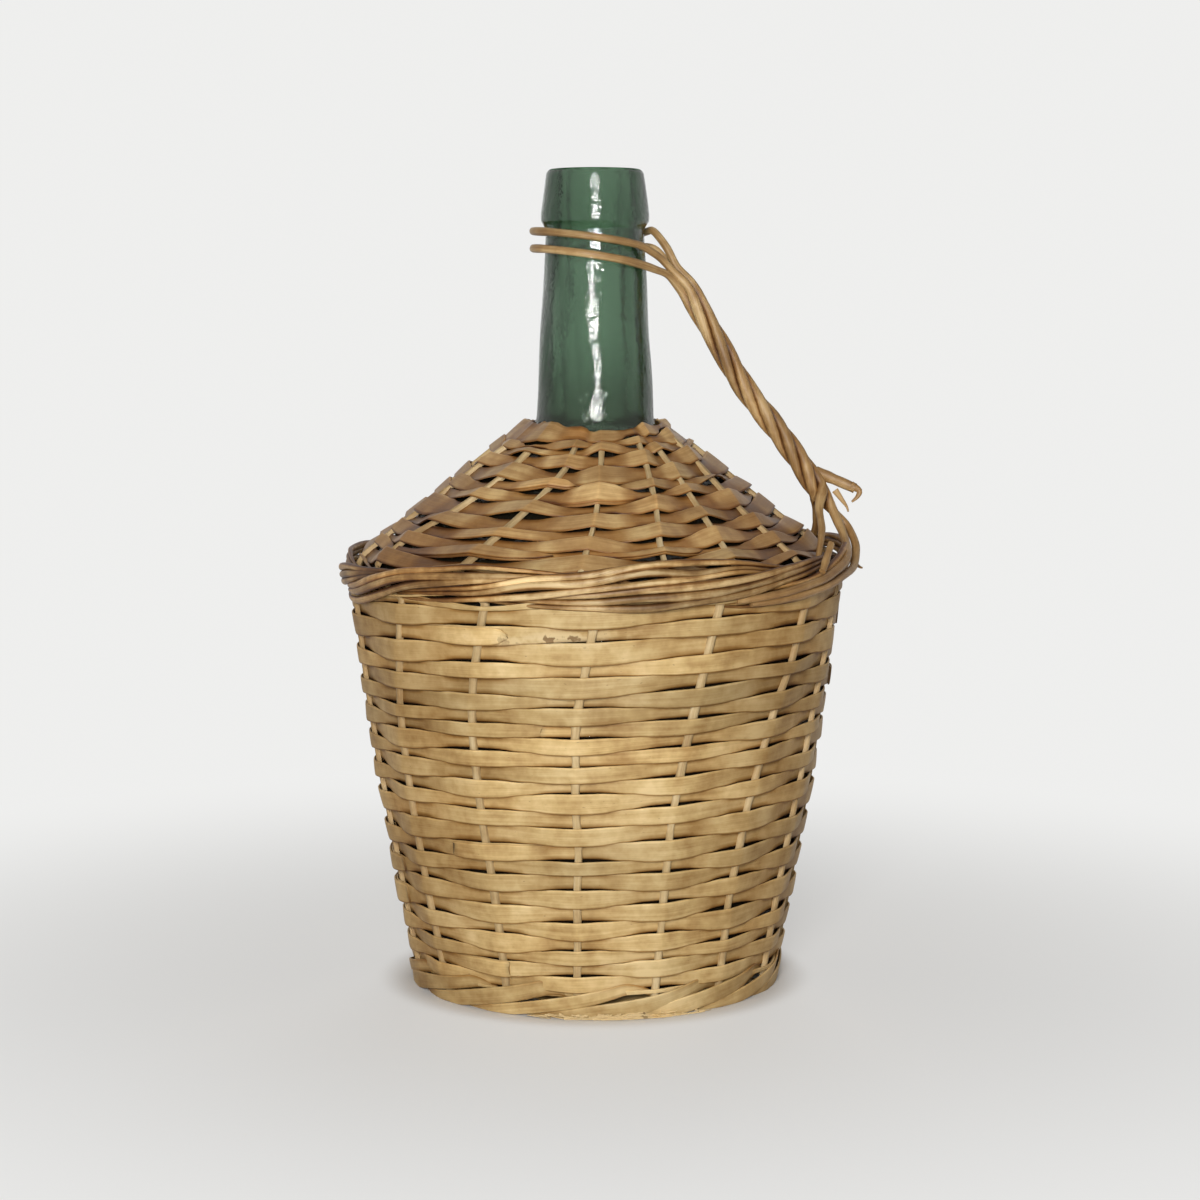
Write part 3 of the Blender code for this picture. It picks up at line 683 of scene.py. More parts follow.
def split_wood(name, dark, middle, pale, roughness, fibre=1.0, blotch=1.0, gloss=0.22, sides=0.55):
    """Dry split wood: fibres along the strip, paler and darker streaks, painted shade, specks and worn grey
    places.
    fibre and blotch are how much those show, and sides is how much browner the object's two sides are, as
    painted shade where the light falls off."""
    material, tree, shader, _ = new_material(name)
    strip = tree.node("UVMap", uv_map="strip")["UV"]
    place = tree.place()
    # The marks: tone, which on the splints also carries painted highlights and painted shade, then painted
    # shade, then wear.
    tone, stain, worn = tree.parts(tree.node("Attribute", attribute_name="marks")["Vector"])
    # Painted shade: the wood grows browner towards the object's two sides, where the light falls off.
    painted_side_shade = tree.band(tree.maths("ABSOLUTE", tree.parts(place)[0]), 0.030, 0.085)
    stain = tree.total(stain, (painted_side_shade, sides))

    fine = tree.noise(strip, 1.0, 5, 0.6, stretch=(45, 2300, 1))
    streak = tree.noise(strip, 1.0, 4, 0.55, stretch=(16, 420, 1))
    wide = tree.noise(place, 34, 3, 0.5)
    patch = tree.noise(place, 120, 3, 0.6)
    terms = ((patch, 0.46 * blotch), (wide, 0.62 * blotch), (streak, 0.44 * fibre), (fine, 0.28 * fibre))
    level = tree.total(0.5 - 0.5 * sum(weight for _, weight in terms), *terms)
    colour = tree.ramp(level, ((0.30, dark), (0.50, middle), (0.68, pale)))
    light = tree.total(1.0, (tone, 0.17))
    colour = tree.node("VectorMath", {0: colour, "Scale": light}, operation="SCALE")["Vector"]

    # Painted shade: the marks darken and tint the wood, streaked along the grain.
    shaded = tree.mix(1.0, colour, SHADE_TINT, "MULTIPLY")
    shade_share = tree.times(stain, tree.total(0.45, (streak, 0.9)))
    colour = tree.mix(tree.maths("MINIMUM", shade_share, 1.0), colour, shaded)
    deep = tree.maths("SUBTRACT", shade_share, 0.9, clamp=True)
    colour = tree.mix(deep, colour, tree.mix(1.0, colour, DEEP_SHADE_TINT, "MULTIPLY"))
    speck = tree.band(tree.noise(strip, 1.0, 2, 0.5, stretch=(420, 900, 1)), 0.70, 0.76)
    colour = tree.mix(tree.times(speck, 0.45), colour, SPECK_COLOUR)
    bare = tree.band(tree.total(patch, (worn, 0.30)), 0.55, 0.75)
    colour = tree.mix(tree.times(bare, tree.times(worn, 0.75), clamp=True), colour, BARE_COLOUR)
    pits = tree.band(tree.total(patch, (worn, 0.10)), 0.66, 0.70)
    colour = tree.mix(tree.times(pits, worn, clamp=True), colour, PIT_COLOUR)

    height = tree.total(tree.times(speck, -0.35), (streak, 0.6), (fine, 0.55))
    tree.feed(shader, {
        "Base Color": colour, "Roughness": tree.total(roughness - 0.11, (fine, 0.22)),
        "Normal": tree.bump(height, 0.45, 0.0004), "Specular IOR Level": gloss})
    return material


def bottle_glass():
    """Clear green glass with a little haze, and a skin with shallow waves. In the basket the haze is a near
    black brown, painted shade, and on the mouth's flat top it is thick, so that the top is matt."""
    material, tree, shader, output = new_material("bottle_glass")
    place = tree.place()
    waves = tree.noise(place, 90, 2, 0.5, stretch=(1, 1, 0.28))
    ripples = tree.noise(place, 430, 2, 0.55, stretch=(1, 1, 1.7))
    tree.feed(shader, {
        "Base Color": GLASS_COLOUR, "Roughness": 0.02, "Transmission Weight": 1.0, "IOR": 1.5,
        "Normal": tree.bump(tree.total(waves, (ripples, 0.38)), 1.0, 0.0009)})

    height = tree.parts(place)[2]
    clear, above, worn_top = (tree.band(height, *heights) for heights in (BASKET_SHADE_END, PALE_FILM, WORN_TOP))
    streaks = tree.noise(place, 230, 4, 0.6, stretch=(1, 1, 0.10))
    film = tree.ramp(streaks, ((0.38, FILM_DARK), (0.60, FILM_LIGHT)))
    # Painted shade: inside the basket the haze is near black, and much of the glass there is this haze.
    film = tree.mix(clear, BASKET_SHADE_COLOUR, tree.mix(above, LOW_FILM_COLOUR, film))
    share = tree.maths("ADD", tree.total(0.62, (above, -0.23), (clear, -0.32)), worn_top, clamp=True)
    hazy = tree.mix_shaders(share, shader.outputs[0], tree.node("BsdfDiffuse", {"Color": film})[0])

    # Painted shade: the bore turns near black where it is seen at a grazing angle, as dark lines inside the
    # glass.
    bore = tree.node("Attribute", attribute_name="bore")["Fac"]
    edge = tree.band(tree.node("LayerWeight", {"Blend": 0.5})["Facing"], 0.42, 0.80)
    dark = tree.node("BsdfDiffuse", {"Color": BORE_SHADE_COLOUR})[0]
    absorb = tree.node("VolumeAbsorption", {"Color": ABSORBED_COLOUR, "Density": 110})[0]
    tree.feed(output, {"Surface": tree.mix_shaders(tree.times(bore, edge), hazy, dark), "Volume": absorb})
    return material


BODY_WOOD = split_wood(
    "wicker_body", (0.35, 0.211, 0.077), (0.52, 0.361, 0.156), (0.66, 0.495, 0.250),
    roughness=0.5, fibre=0.9, blotch=1.15, gloss=0.12)
SHOULDER_WOOD = split_wood(
    "wicker_shoulder", (0.29, 0.150, 0.050), (0.455, 0.272, 0.106), (0.63, 0.435, 0.195),
    roughness=0.38, sides=0.80)
STAKE_WOOD = split_wood(
    "stake_wood_dry", (0.36, 0.23, 0.10), (0.52, 0.375, 0.185), (0.66, 0.52, 0.30), roughness=0.6, fibre=1.3)
RIM_WOOD = split_wood(
    "cane_rim", (0.24, 0.128, 0.044), (0.44, 0.272, 0.108), (0.70, 0.51, 0.26),
    roughness=0.46, fibre=1.8, blotch=1.6)
HANDLE_WOOD = split_wood(
    "cane_handle", (0.25, 0.138, 0.052), (0.40, 0.248, 0.102), (0.60, 0.43, 0.215), roughness=0.46, fibre=1.6)


def wave(place, crease):
    """From 1 over a stake to -1 under the next: a cosine for a small crease, straight runs for one near 1."""
    return np.arcsin(crease * np.cos(np.pi * place)) / math.asin(crease)


def near_stakes(begin, end):
    """Places along a splint, closer together where it bends over a stake."""
    even = np.linspace(begin, end, round((end - begin) * STEPS) + 1)
    whole = np.arange(math.ceil(begin), math.floor(end) + 1)
    extra = (whole[:, None] + BEND_PLACES).ravel()
    places = np.sort(np.concatenate((even, extra[(extra > begin) & (extra < end)])))
    return places[np.concatenate(([True], np.diff(places) > LEAST_STEP))]


def worn_patch(along, angle):
    """The worn, split patch near the top of the body, left of the middle of the front."""
    across = (RIM_RADIUS * np.cos(angle) - WORN_ACROSS) / WORN_HALF[0]
    up = (along - RIM_ALONG + WORN_DROP) / WORN_HALF[1]
    return np.where(np.sin(angle) < 0, np.exp(-across ** 2 - up ** 2), 0)


class Weave:
    """One zone's spiral of splints, and loose ends that lie on it."""

    def __init__(self, name, node_name, zone, turns, splints, look, material):
        self.name, self.node_name, self.zone = name, node_name, zone
        self.turns, self.splints, self.look, self.material = turns, splints, look, material
        self.pitch = (zone[1] - zone[0]) / turns
        self.rng = draws(look.kind)
        sizes = (look.wobble, look.width, look.width, look.curl, SWELL_NOISE, SHADE_NOISE, LINE_NOISE)
        noises = [wander(self.rng, (turns + 3) * STAKES, size) for size in sizes]
        self.edge, self.over_high, self.over_low, self.roll, self.swell, self.shade, self.line = noises

    def boundary(self, place):
        """The length along the outline of the border above the splint at these places."""
        turn = place / STAKES
        uneven = 0.001 * np.interp(turn, *np.array(self.look.rows).T)
        return self.zone[0] + self.pitch * turn + self.edge(place) + uneven

    def tuck_in(self, stake):
        """How far this stake runs along the outline, to end behind the last splint that passes over it."""
        last = round((self.turns + 1 - WEAVE_TIP_SHARE) * STAKES) - 3
        place = [place for place in range(stake, last, STAKES) if place % 2 == 0][-1]
        return (self.boundary(place) + self.boundary(place - STAKES)) / 2

    def section(self, place, lift, narrow):
        """The sections at these places: lengths along the outline, how far off it, and 1 over a stake to -1
        under one."""
        look, zone = self.look, self.zone
        sharp = np.clip(look.sharp + 0.8 * self.line(place), 0, 1)
        side = sharp * wave(place, look.crease) + (1 - sharp) * np.cos(np.pi * place)
        over = side > 0
        open_out = smooth(np.abs(np.cos(np.pi * place)), *look.opens)
        wider = [np.where(over, look.over * (1 + by), look.under * (1 + look.holes * by))
                 for by in (self.over_high(place), self.over_low(place))]
        high = self.boundary(place) - GAP / 2 + open_out * wider[0]
        low = self.boundary(place - STAKES) + GAP / 2 - open_out * wider[1]
        share = (1 + side) / 2
        spare = [under + (above - under) * share for above, under in (look.spare_low, look.spare_high)]
        low, high = np.maximum(low, zone[0] - spare[0]), np.minimum(high, zone[1] + spare[1])
        middle, half = (low + high) / 2, np.maximum((high - low) / 2, NARROWEST) * narrow
        sag = (1 - math.cos(math.pi / STAKES)) * (1 - (place % 1 * 2 - 1) ** 2)
        dip = look.chord * BASKET.place(middle)[..., 0] * sag
        swing = look.swing * (1 - look.calm * smooth(place / STAKES, self.turns - 1.6, self.turns - 0.2))
        off = look.skin + side * swing * (1 + self.swell(place) * over) - dip + lift
        tilt = self.roll(place) * open_out * np.sign(side)
        spread = middle[:, None] + half[:, None] * ACROSS
        out = off[:, None] + SPLINT * OUTWARD + tilt[:, None] * ACROSS
        past = np.maximum(np.maximum(zone[0] - spread, spread - zone[1]), 0)
        out = out - np.minimum(past, TUCKED) * look.tuck * over[:, None]
        return spread, out, side

    def strip(self, piece, places, lift, tone, narrow=1.0, tip=0):
        """A splint with ragged ends. tip is the distance in stakes over which its end is rounded."""
        if tip:
            share = np.clip((places[-1] - places) / tip, BLUNTEST, 1)
            narrow = narrow * np.sqrt(share * (2 - share))
        spread, out, side = self.section(places, lift, narrow)
        angle = stake_angle(places)[:, None] + 0 * spread
        for row in (0, -1):
            angle[row] += np.interp(ACROSS, TEETH, self.rng.normal(0, TOOTH, len(TEETH)))
        rings = on_basket(spread, angle, out)
        # Painted highlight: a pale line on the crest where the splint bends over a stake.
        crest = np.exp(-((places - np.round(places)) / CREST_HIGHLIGHT_WIDTH) ** 2) * (side > 0)
        crest = crest * np.maximum(0.6 + self.line(places), 0) * self.look.crest
        raised = smooth(side, -0.2, 0.4)[:, None]
        lowered = smooth(-side, 0.1, 0.7)[:, None]
        # The tone gets painted highlights on the crests and on the raised upper edge, and painted shade on
        # the cut ends.
        tone = tone + (self.shade(places) + crest)[:, None] + EDGE_HIGHLIGHT * SECTION_EDGE_HIGHLIGHT * raised
        tone[[0, -1]] += END_SHADE
        # Painted shade: where the splint is not raised over a stake, along its seams where it goes under, and
        # on its lower edge.
        stain = (1 - raised) * self.look.stain + lowered * SECTION_SEAM_SHADE * self.look.seam
        marks = tone, stain + LOWER_EDGE_SHADE * SECTION_LOWER_EDGE_SHADE, worn_patch(spread, angle)
        along = walk_of(rings[:, 3]) + self.rng.uniform(0, GRAIN_START)
        piece.sweep(rings, along, SECTION_WALK * SPLINT_GRAIN, marks)

    def make(self, heads=(), loose=()):
        """Makes the splints, one after the other up the spiral, and the loose ends on them."""
        tip, look, splints = STAKES * WEAVE_TIP_SHARE, self.look, self.splints
        first = math.ceil(tip - STAKES * look.spare_low[1] / self.pitch)
        last = math.floor((self.turns + 1) * STAKES - tip + STAKES * look.spare_high[1] / self.pitch)
        joins = [2 * round((first + (last - first) * i / splints) / 2) + 1 for i in range(1, splints)]
        pieces = []
        for number, (begin, end) in enumerate(zip([first, *joins], [*joins, last]), 1):
            piece = Piece(f"{self.name}_{number:02d}")
            reach = self.rng.uniform(*OVERLAP, 2)
            start = begin - reach[0] if number in heads else begin
            stop = end + reach[1] if number < splints and number + 1 not in heads else end
            places = near_stakes(start, stop)
            lift = 0 * places
            if stop > end:
                lift = lift + LIFT * smooth(places, end - RISE_BEFORE, end + RISE_PAST)
            if start < begin:
                lift = lift + LIFT * smooth(-places, -begin - RISE_BEFORE, -begin + RISE_PAST)
            self.strip(piece, places, lift, self.rng.normal(0, look.tones))
            pieces.append((begin, piece))
        for start, stop, tone, narrow, tip in loose:
            piece = [piece for begin, piece in pieces if begin <= max(start, first)][-1]
            places = near_stakes(start, stop)
            self.strip(piece, places, 0 * places + LOOSE_LIFT, tone, narrow, tip)
        for _, piece in pieces:
            piece.finish(self.material, "wicker", f"{self.node_name}_{piece.name[-2:]}")


def make_stakes(shoulder):
    """Half-round strips with uneven sides, thinner at both ends, and let in at the rim."""
    for number in range(STAKES):
        along = np.linspace(0, shoulder.tuck_in(number), STAKE_POINTS)
        rng = draws("stakes", number)
        width = STAKE_WIDTH / 2 * (1 + 0.08 * wander(rng, 40, 1)(along * 100))
        width *= 0.58 + 0.42 * smooth(along, 0, 0.02)
        width *= 1 - 0.16 * smooth(along, RIM_ALONG, RIM_ALONG + 0.03)
        sway = wander(rng, 20, 0.00025)(along * 50)
        side = width[:, None] * STAKE_SECTION[:, 0] + sway[:, None]
        in_rim = STAKE_LET_IN * smooth(-np.abs(along - RIM_ALONG), -0.011, -0.006)
        off = STAKE_DEPTH * STAKE_SECTION[:, 1] + (STAKE_OFF - in_rim)[:, None]
        radius = np.maximum(BASKET.place(along)[:, :1], 0.004)
        rings = on_basket(along[:, None], stake_angle(number) + side / radius, off)
        marks = rng.normal(0, 0.35), 0, 0
        across = walk_round(STAKE_SECTION * STAKE_GRAIN)
        piece = Piece(f"upright_{number + 1:02d}")
        piece.sweep(rings, along + rng.uniform(0, GRAIN_START), across, marks)
        piece.finish(STAKE_WOOD, "stake_wood", f"stake_{number + 1:02d}")


def repeating(places, knots):
    """Values of a table that repeats every RIM_PERIOD stakes, with its corners rounded."""
    values = np.interp(places, *np.array(knots).T, period=RIM_PERIOD)
    for _ in range(2):
        values = sum(np.roll(values, i) for i in range(-RIM_SOFT, RIM_SOFT + 1)) / (2 * RIM_SOFT + 1)
    return values


def fade_at_start(places):
    """0 where a closed strand starts and ends, and 1 from a stake's distance on."""
    return smooth(places, 0, 1) * smooth(STAKES - places, 0, 1)


def make_rim():
    """Nine canes in three strands. Each strand is outside three stakes and behind two, and climbs outside."""
    places = np.arange(STAKES * RIM_STEPS) / RIM_STEPS
    fade = fade_at_start(places)
    knots = STAKES * 2 + 2
    # Painted shade in the grooves between neighbouring canes.
    rim_groove_shade = smooth(np.abs(np.cos(circle(RIM_SIDES))), 0.50, 1)
    for strand, (start, heights) in enumerate(RIM_STRANDS):
        height, off, size = (repeating(places - start, rows) for rows in (heights, RIM_OFFS, RIM_SIZES))
        height, off = height * 0.001, off * 0.001
        for cane in range(3):
            rng = draws("rim", strand * 3 + cane)
            play, sway = (wander(rng, knots, RIM_WANDER)(places * 2) * fade * size for _ in range(2))
            rise = height + (cane - 1) * RIM_CANE * size + play
            line = on_rim(rise, stake_angle(places), off + 0.7 * sway)
            up = on_rim(rise + 0.001, stake_angle(places), off) - line
            thick = RIM_CANE / 2 * size * (1 + 0.08 * wander(rng, knots, 1)(places * 2) * fade)
            tone = rng.normal(0, 0.8) + 0.7 * wander(rng, knots, 1)(places * 2) * fade
            # Painted shade where the canes shrink behind the stakes, and in the grooves between them.
            stain = smooth(-size, -0.95, -0.55)[:, None] + 1.7 * rim_groove_shade
            marks = tone[:, None], stain, 0
            piece = Piece(f"rim_rod_{strand + 1}{'abc'[cane]}")
            piece.tube(line, up, thick * 1.04, marks, RIM_SIDES, thick * 0.92, closed=True)
            piece.finish(RIM_WOOD, "cane", f"rim_cane_{strand + 1}{'abc'[cane]}")


def make_foot():
    """Three flat splints that climb outside two stakes and drop behind the third, at the floor."""
    places = np.arange(STAKES * FOOT_STEPS) / FOOT_STEPS
    fade = fade_at_start(places)
    for strand in range(3):
        rng = draws("foot", strand)
        phase = (places + 0.5 + strand) % 3
        outside, back = phase <= 2, np.pi * (phase - 2)
        behind = np.sin(np.pi * np.clip(phase - 2, 0, 1))
        play = wander(rng, STAKES + 2, 0.0005)(places) * fade
        swing = np.sin(np.pi / 2 * np.clip(2 * np.minimum(phase, 2 - phase), 0, 1))
        off = FOOT_OFF + FOOT_SWING * np.where(outside, swing, -np.sin(back))
        uneven = 0.12 * wander(rng, STAKES + 2, 1)(places) * fade
        half = FOOT_HALF * (1 + uneven) - FOOT_LESS_BEHIND * behind
        drop = FOOT_RISE * np.cos(back) + FOOT_LIFT_BEHIND * np.sin(back)
        along = FLOOR_ALONG + FOOT_MIDDLE + np.where(outside, FOOT_RISE * (phase - 1), drop) + play
        curl = FOOT_CURL * (phase - 1) * outside
        out = off[:, None] + SPLINT * OUTWARD + curl[:, None] * ACROSS
        rings = on_foot(along[:, None] + half[:, None] * ACROSS, stake_angle(places)[:, None], out)
        shade = wander(rng, STAKES + 2, 0.5)(places) * fade
        # Painted highlight on the splint's upper edge.
        tone = rng.normal(0, 0.4) + shade[:, None] + FOOT_EDGE_HIGHLIGHT * SECTION_EDGE_HIGHLIGHT
        # Painted shade behind the stakes, and along the seams where the splint turns to go behind.
        ends = smooth(np.abs(phase - 1), 0.45, 1.0)
        stain = 0.5 * behind[:, None] + 0.8 * ends[:, None] * SECTION_SEAM_SHADE
        piece = Piece(f"foot_strip_{strand + 1}")
        along = walk_of(rings[:, 3]) + strand * 7
        piece.sweep(rings, along, SECTION_WALK * FOOT_GRAIN, (tone, stain, 0), closed=True)
        if strand == 0:
            add_fibres(piece)
        piece.finish(BODY_WOOD, "wicker", f"foot_splint_{strand + 1}")


def add_fibres(piece):
    """Loose fibres and short ends under the front of the foot."""
    rng = draws("fibres")
    count = FIBRE_POINTS
    for _ in range(FIBRES):
        angle = -np.pi / 2 + rng.normal(0.10, 0.17)
        way = rng.choice((-1, 1), p=(0.2, 0.8))
        length = rng.uniform(0.004, 0.014)
        turn = np.linspace(0, way * length / FOOT_RADIUS, count)
        off = 0.0026 + rng.uniform(0, 0.0014) + np.linspace(0, rng.uniform(0, 0.0020), count)
        along = FLOOR_ALONG + rng.uniform(0.0004, 0.0030) - np.linspace(0, rng.uniform(-0.001, 0.003), count)
        along = along + wander(rng, 8, 0.0002)(np.arange(count))
        line = on_foot(along, angle + turn, off)
        line[:, 2] = np.maximum(line[:, 2], 0.0005)
        up = np.broadcast_to((0.0, 0.0, 1.0), line.shape)
        thick = rng.uniform(0.00022, 0.00060) * np.linspace(1, 0.3, count)
        piece.tube(line, up, thick, (rng.normal(2.2, 0.6), 0, 0.8), FIBRE_SIDES, thick)


def smooth_route(points, step):
    """Points at about this spacing on a smooth curve through the given ones."""
    points = [np.asarray(p, float) for p in points]
    ends = [points[0] * 2 - points[1], *points, points[-1] * 2 - points[-2]]
    found = []
    for a, b, c, d in zip(ends, ends[1:], ends[2:], ends[3:]):
        steps = max(1, round(float(np.linalg.norm(c - b)) / step))
        for t in np.arange(steps) / steps:
            bent = (2 * a - 5 * b + 4 * c - d) * t * t + (3 * b - a - 3 * c + d) * t ** 3
            found.append(0.5 * (2 * b + (c - a) * t + bent))
    return np.array(found + [points[-1]])


def rope_line():
    top = np.array((LIP_RADIUS + ROPE_TOP_REACH, 0, BOTTLE_HEIGHT - ROPE_TOP_DROP))
    foot = np.array((RIM_RADIUS - ROPE_FOOT_INSET, 0, RIM_HEIGHT + ROPE_FOOT_RISE))
    span = foot - top
    route = [top + np.array((span[0] * out, 0, span[2] * down)) for out, down in ROPE_ROUTE_SHARES]
    return smooth_route(route, ROPE_STEP)


def rope_strand(start_angle):
    line = rope_line()
    walk = walk_of(line)
    way = unit(np.vstack([line[1:], line[-1:]]) - np.vstack([line[:1], line[:-1]]))
    angle = start_angle + ROPE_TWIST * (walk / walk[-1]) ** TIGHTENING_SHARE
    turned = np.stack([-way[:, 2] * np.cos(angle), -np.sin(angle), way[:, 0] * np.cos(angle)], -1)
    return line + turned * STRAND_RADIUS


def rope_tail(last):
    """From the rope's foot over or behind the rim. Two legs turn to the front, along the rim's lower edge."""
    leg = LEGS[last[0] > RIM_RADIUS - ROPE_FOOT_INSET, last[1] < 0]
    return [on_rim(height * 0.001, math.radians(angle), off * 0.001) for angle, height, off in leg]


def neck_loop(right, left, back):
    """A cane's way round the neck, this far under the mouth at three places."""
    share = np.arange(LOOP_STEPS + 1) / LOOP_STEPS
    angle = -LOOP_OPENING - (2 * math.pi - 2 * LOOP_OPENING) * share
    radius = NECK_RADIUS + HANDLE_CANE / 2 + LOOP_CLEARANCE - LOOP_SLACK * np.cos(angle)
    end = np.where(share < 0.5, right, back)
    return around(radius, angle, BOTTLE_HEIGHT - end - (left - end) * np.sin(math.pi * share))


def carried(line, first_side):
    """A line's direction at each point, and a side that turns with it as little as it can."""
    way = unit(np.gradient(line, axis=0))
    sides = [first_side - way[0] * (first_side @ way[0])]
    for step in way[1:]:
        sides.append(unit(sides[-1] - step * (sides[-1] @ step)))
    return way, np.array(sides)


def make_handle():
    """Two canes from the rim to the neck and back. In the twist they are pressed together."""
    middle = smooth_route(rope_line(), FINE_ROPE_STEP)
    for number, (name, (legs, drops, *neck_ways)) in enumerate(HANDLE_CANES.items()):
        strands = [rope_strand(math.radians(angle)) for angle in legs]
        first, second = [[*strand[:-LEG_CUT], *rope_tail(strand[-1])] for strand in strands]
        to_loop, from_loop = [np.array(way) * 0.001 for way in neck_ways]
        route = [*reversed(first), *to_loop, *neck_loop(*drops), *from_loop, *second]
        line = smooth_route(smooth_route(route, ROPE_STEP), FINE_CANE_STEP)
        count = np.arange(len(line))
        gaps = np.linalg.norm(line[:, None] - middle[None], axis=2)
        near, gap = gaps.argmin(1), gaps.min(1)
        twisted = smooth(-gap, *IN_TWIST) * smooth(np.minimum(near, len(middle) - 1 - near), 0, 5)
        near_rope = smooth(-gap, *NEAR_TWIST)
        way, side = carried(line, np.array((0.0, 1.0, 0.0)))
        other = np.cross(way, side)
        out = line - middle[near]
        turn = np.arctan2((out * other).sum(1), (out * side).sum(1))
        held = np.flatnonzero(twisted > 0.02)
        turn = np.interp(count, held, np.unwrap(turn[held]))[:, None]
        sides = side * np.cos(turn) + other * np.sin(turn)
        rng = draws("handle", number)
        uneven = 1 + 0.04 * wander(rng, 100, 1)(count / 6)
        uneven = uneven * (0.75 + 0.25 * np.clip(np.minimum(count, count[::-1]) / CANE_END_POINTS, 0, 1))
        radius = (CANE_HALF + 0.00026 * near_rope + 0.00026 * twisted) * uneven
        wide = (CANE_HALF + 0.00040 * near_rope + 0.00042 * twisted) * uneven
        tone = 0.6 * wander(rng, 60, 1)(count / 16)[:, None]
        # Painted shade on the side of each cane that faces the rope's middle, much darker in the twist.
        stain = (0.25 + 1.6 * twisted[:, None]) * smooth(-np.cos(circle(CANE_SIDES)), -0.62, 0.25)
        piece = Piece(f"handle_rod_{name}")
        piece.tube(line, sides, radius, (tone, stain, 0), CANE_SIDES, wide, groove=CANE_GROOVE)
        if name == "lower":
            add_stubs(piece)
        piece.finish(HANDLE_WOOD, "cane", f"handle_cane_{name}")


def add_stubs(piece):
    """The cut end that sticks out of the rope's foot, its torn tip, and short ends near the rim."""
    rng = draws("stubs")
    for points, start, end, tone in STUBS:
        line = smooth_route([np.array(point) * 0.001 for point in points], 0.0010)
        _, side = carried(line, np.array((0.0, 1.0, 0.2)))
        count = len(line)
        uneven = 1 + 0.05 * wander(rng, count // 3 + 2, 1)(np.arange(count) / 3)
        thick = np.linspace(start, end, count) * 0.001 * uneven
        piece.tube(line, side, thick * 0.8, (tone, 0, 0), STUB_SIDES, thick)


def glass_outline():
    """The bottle's section, from the axis under the base round to the axis inside, as in part.py."""
    outside = set_in(basket_corners(), WEAVE_DEPTH + GLASS_CLEARANCE)
    inside = set_in(outside, GLASS_WALL)
    floor, floor_inside = outside[0][1], inside[0][1]
    lip_base = BOTTLE_HEIGHT - LIP_HEIGHT
    corners = [
        (0, floor + PUNT_RISE), (PUNT_RADIUS, floor), *outside[1:4],
        on_line(outside[3], outside[4], NECK_ROOT_RADIUS), (NECK_RADIUS, lip_base),
        (LIP_RADIUS, lip_base + LIP_UNDERCUT), (LIP_RADIUS, lip_base + LIP_UNDERCUT + LIP_BULGE_RISE),
        (MOUTH_RADIUS, BOTTLE_HEIGHT), (BORE_RADIUS, BOTTLE_HEIGHT),
        on_line(inside[3], inside[4], BORE_ROOT_RADIUS), *reversed(inside[1:4]),
        (PUNT_RADIUS, floor_inside), (0, floor_inside + PUNT_RISE)]
    bends = (
        PUNT_BEND, HEEL_BEND, BELLY_BEND, SHOULDER_BEND, NECK_BEND, LIP_BEND, LIP_BEND, LIP_BEND, MOUTH_BEND,
        BORE_BEND, BORE_ROOT_BEND, SHOULDER_BEND - GLASS_WALL, BELLY_BEND, HEEL_BEND - GLASS_WALL, PUNT_BEND)
    return Outline(corners, bends, step=GLASS_ARC_STEP)


def make_glass():
    """The bottle, turned in fine steps, with the shallow unevenness of hand-made glass."""
    outline = glass_outline()
    profile = [outline.points[0]]
    for a, b in zip(outline.points, outline.points[1:]):
        steps = max(1, int(np.linalg.norm(b - a) / GLASS_STEP))
        profile += [a + (b - a) * (i + 1) / steps for i in range(steps)]
    profile = np.array(profile)
    body = profile[profile[:, 0] > 1e-6]
    angle = circle(GLASS_TURNS)
    rng = draws("glass")
    radius, height = (np.repeat(body[:, i:i + 1], GLASS_TURNS, 1) for i in (0, 1))
    for _ in range(GLASS_WAVES):
        n, m = rng.integers(1, 7), rng.uniform(20, 160)
        swell = np.cos(n * angle[None] + m * height + rng.uniform(0, 6.3))
        radius = radius + GLASS_WAVE / n ** 0.4 * swell * smooth(radius, 0.006, 0.012)
    points = around(radius, angle, height).reshape(-1, 3).tolist()
    points += [(0, 0, float(profile[0, 1])), (0, 0, float(profile[-1, 1]))]
    count = len(body)
    index = np.arange(count * GLASS_TURNS).reshape(count, GLASS_TURNS)
    after = np.roll(index, -1, 1)
    faces = np.stack([index[:-1], after[:-1], after[1:], index[1:]], -1).reshape(-1, 4).tolist()
    under, over = len(points) - 2, len(points) - 1
    for j in range(GLASS_TURNS):
        faces += [(under, int(after[0, j]), j), (over, int(index[-1, j]), int(after[-1, j]))]
    mesh = bpy.data.meshes.new("green_bottle")
    mesh.from_pydata(points, [], faces)
    is_bore = np.repeat(np.arange(count) > int(np.argmax(body[:, 1])) + 1, GLASS_TURNS)
    bore = mesh.attributes.new("bore", "FLOAT", "POINT")
    bore.data.foreach_set("value", np.append(is_bore, (False, True)).astype(np.float32))
    mesh.materials.append(bottle_glass())
    mesh.shade_smooth()
    made = add_object("green_bottle", mesh)
    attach(made, "root")
    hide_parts("glass_bottle")


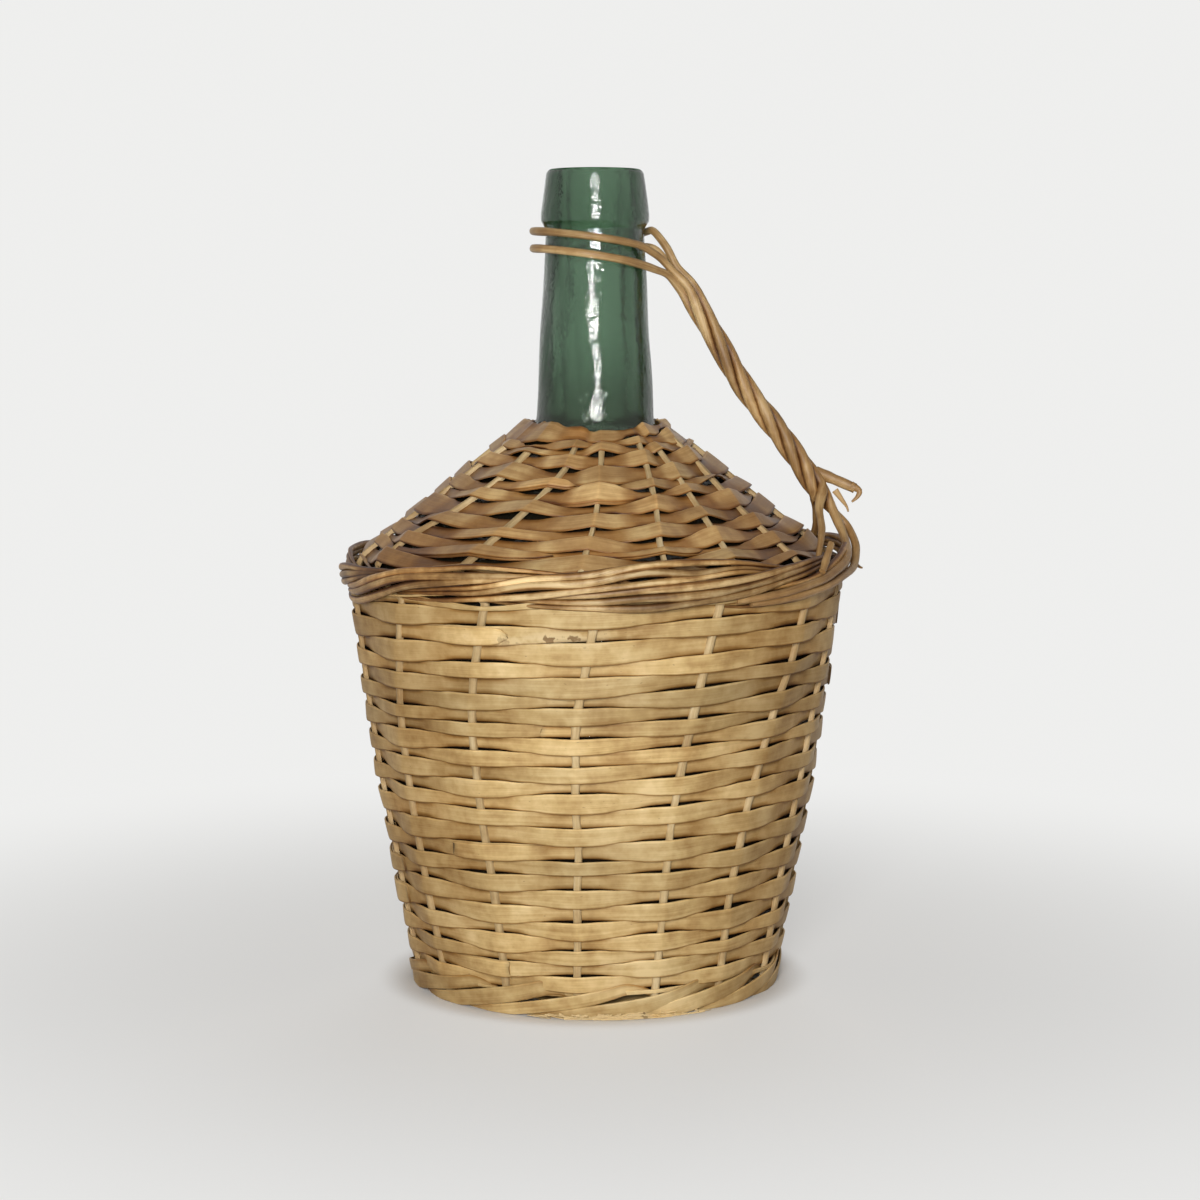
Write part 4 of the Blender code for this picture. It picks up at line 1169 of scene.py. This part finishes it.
def make_floor():
    """A pale floor that fades into the same pale background, and keeps the object's shadow."""
    material, tree, shader, output = new_material("pale_floor")
    x, y, _ = tree.parts(tree.place())
    far = tree.maths("SQRT", tree.maths("ADD", tree.maths("POWER", x, 2.0), tree.maths("POWER", y, 2.0)))
    tree.feed(shader, {"Base Color": FLOOR_COLOUR, "Roughness": 0.9})
    glow = tree.node("Emission", {"Color": BACKGROUND, "Strength": 1.0})[0]
    away = tree.total(0.5, (tree.band(far, 0.12, 0.55), 0.5))
    open_floor = tree.times(away, tree.band(far, 0.082, 0.100))
    share = tree.times(open_floor, tree.background_rays())
    tree.feed(output, {"Surface": tree.mix_shaders(share, shader.outputs[0], glow)})
    mesh = bpy.data.meshes.new("floor")
    mesh.from_pydata([(8 * math.cos(a), 8 * math.sin(a), 0) for a in circle(64)], [], [tuple(range(64))])
    mesh.materials.append(material)
    add_object("floor", mesh)


def make_world():
    """Weak light from all round, and the pale background where it is seen."""
    world = bpy.data.worlds.new("studio")
    bpy.context.scene.world = world
    tree = Tree(world)
    light = tree.node("Background", {"Color": LIGHT_COLOUR, "Strength": LIGHT_STRENGTH})[0]
    shown = tree.node("Background", {"Color": BACKGROUND, "Strength": 1.0})[0]
    surface = tree.mix_shaders(tree.background_rays(), light, shown)
    tree.feed(tree.nodes["World Output"], {"Surface": surface})


def make_lamp(name, place, size, power, use, colour):
    """A soft lamp turned to the middle of the object."""
    light = bpy.data.lights.new(name, "AREA")
    light.shape = "RECTANGLE"
    light.size, light.size_y = size
    light.energy = power
    light.color = colour
    made = add_object(name, light)
    made.location = place
    way = Vector(LAMPS_LOOK_AT) - Vector(place)
    made.rotation_euler = way.to_track_quat("-Z", "Y").to_euler()
    made.visible_camera = False
    made.visible_transmission = False
    made.visible_diffuse = use == "diffuse"
    made.visible_glossy = use == "glossy"


def make_camera():
    """The photograph's viewing angle: from the front, a little above the rim, looking down."""
    camera = bpy.data.cameras.new("camera")
    camera.sensor_width = 36
    camera.lens = CAMERA_LENS
    made = add_object("camera", camera)
    made.location = CAMERA_PLACE
    made.rotation_euler = (math.radians(90 - CAMERA_DOWN), 0, 0)
    bpy.context.scene.camera = made


make_camera()
make_floor()
make_world()
for lamp, values in LAMPS.items():
    make_lamp(lamp, *values)
make_glass()
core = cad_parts["base_core"]
core.data.materials.clear()
core.data.materials.append(BODY_WOOD)
base = Weave("weave_base", "base_splint", BASE_ZONE, BASE_TURNS, BASE_SPLINTS, BASE_LOOK, BODY_WOOD)
base.make()
body = Weave("weave_body", "body_splint", BODY_ZONE, BODY_TURNS, BODY_SPLINTS, BODY_LOOK, BODY_WOOD)
body.make(BODY_HEADS, BODY_LOOSE)
# The photograph's shoulder has one row more than the CAD's.
shoulder = Weave(
    "weave_shoulder", "shoulder_splint", SHOULDER_ZONE, SHOULDER_TURNS + 1, SHOULDER_SPLINTS, SHOULDER_LOOK,
    SHOULDER_WOOD)
shoulder.make(SHOULDER_HEADS, SHOULDER_LOOSE)
make_stakes(shoulder)
make_foot()
make_rim()
make_handle()

scene = bpy.context.scene
scene.view_settings.view_transform = "Standard"
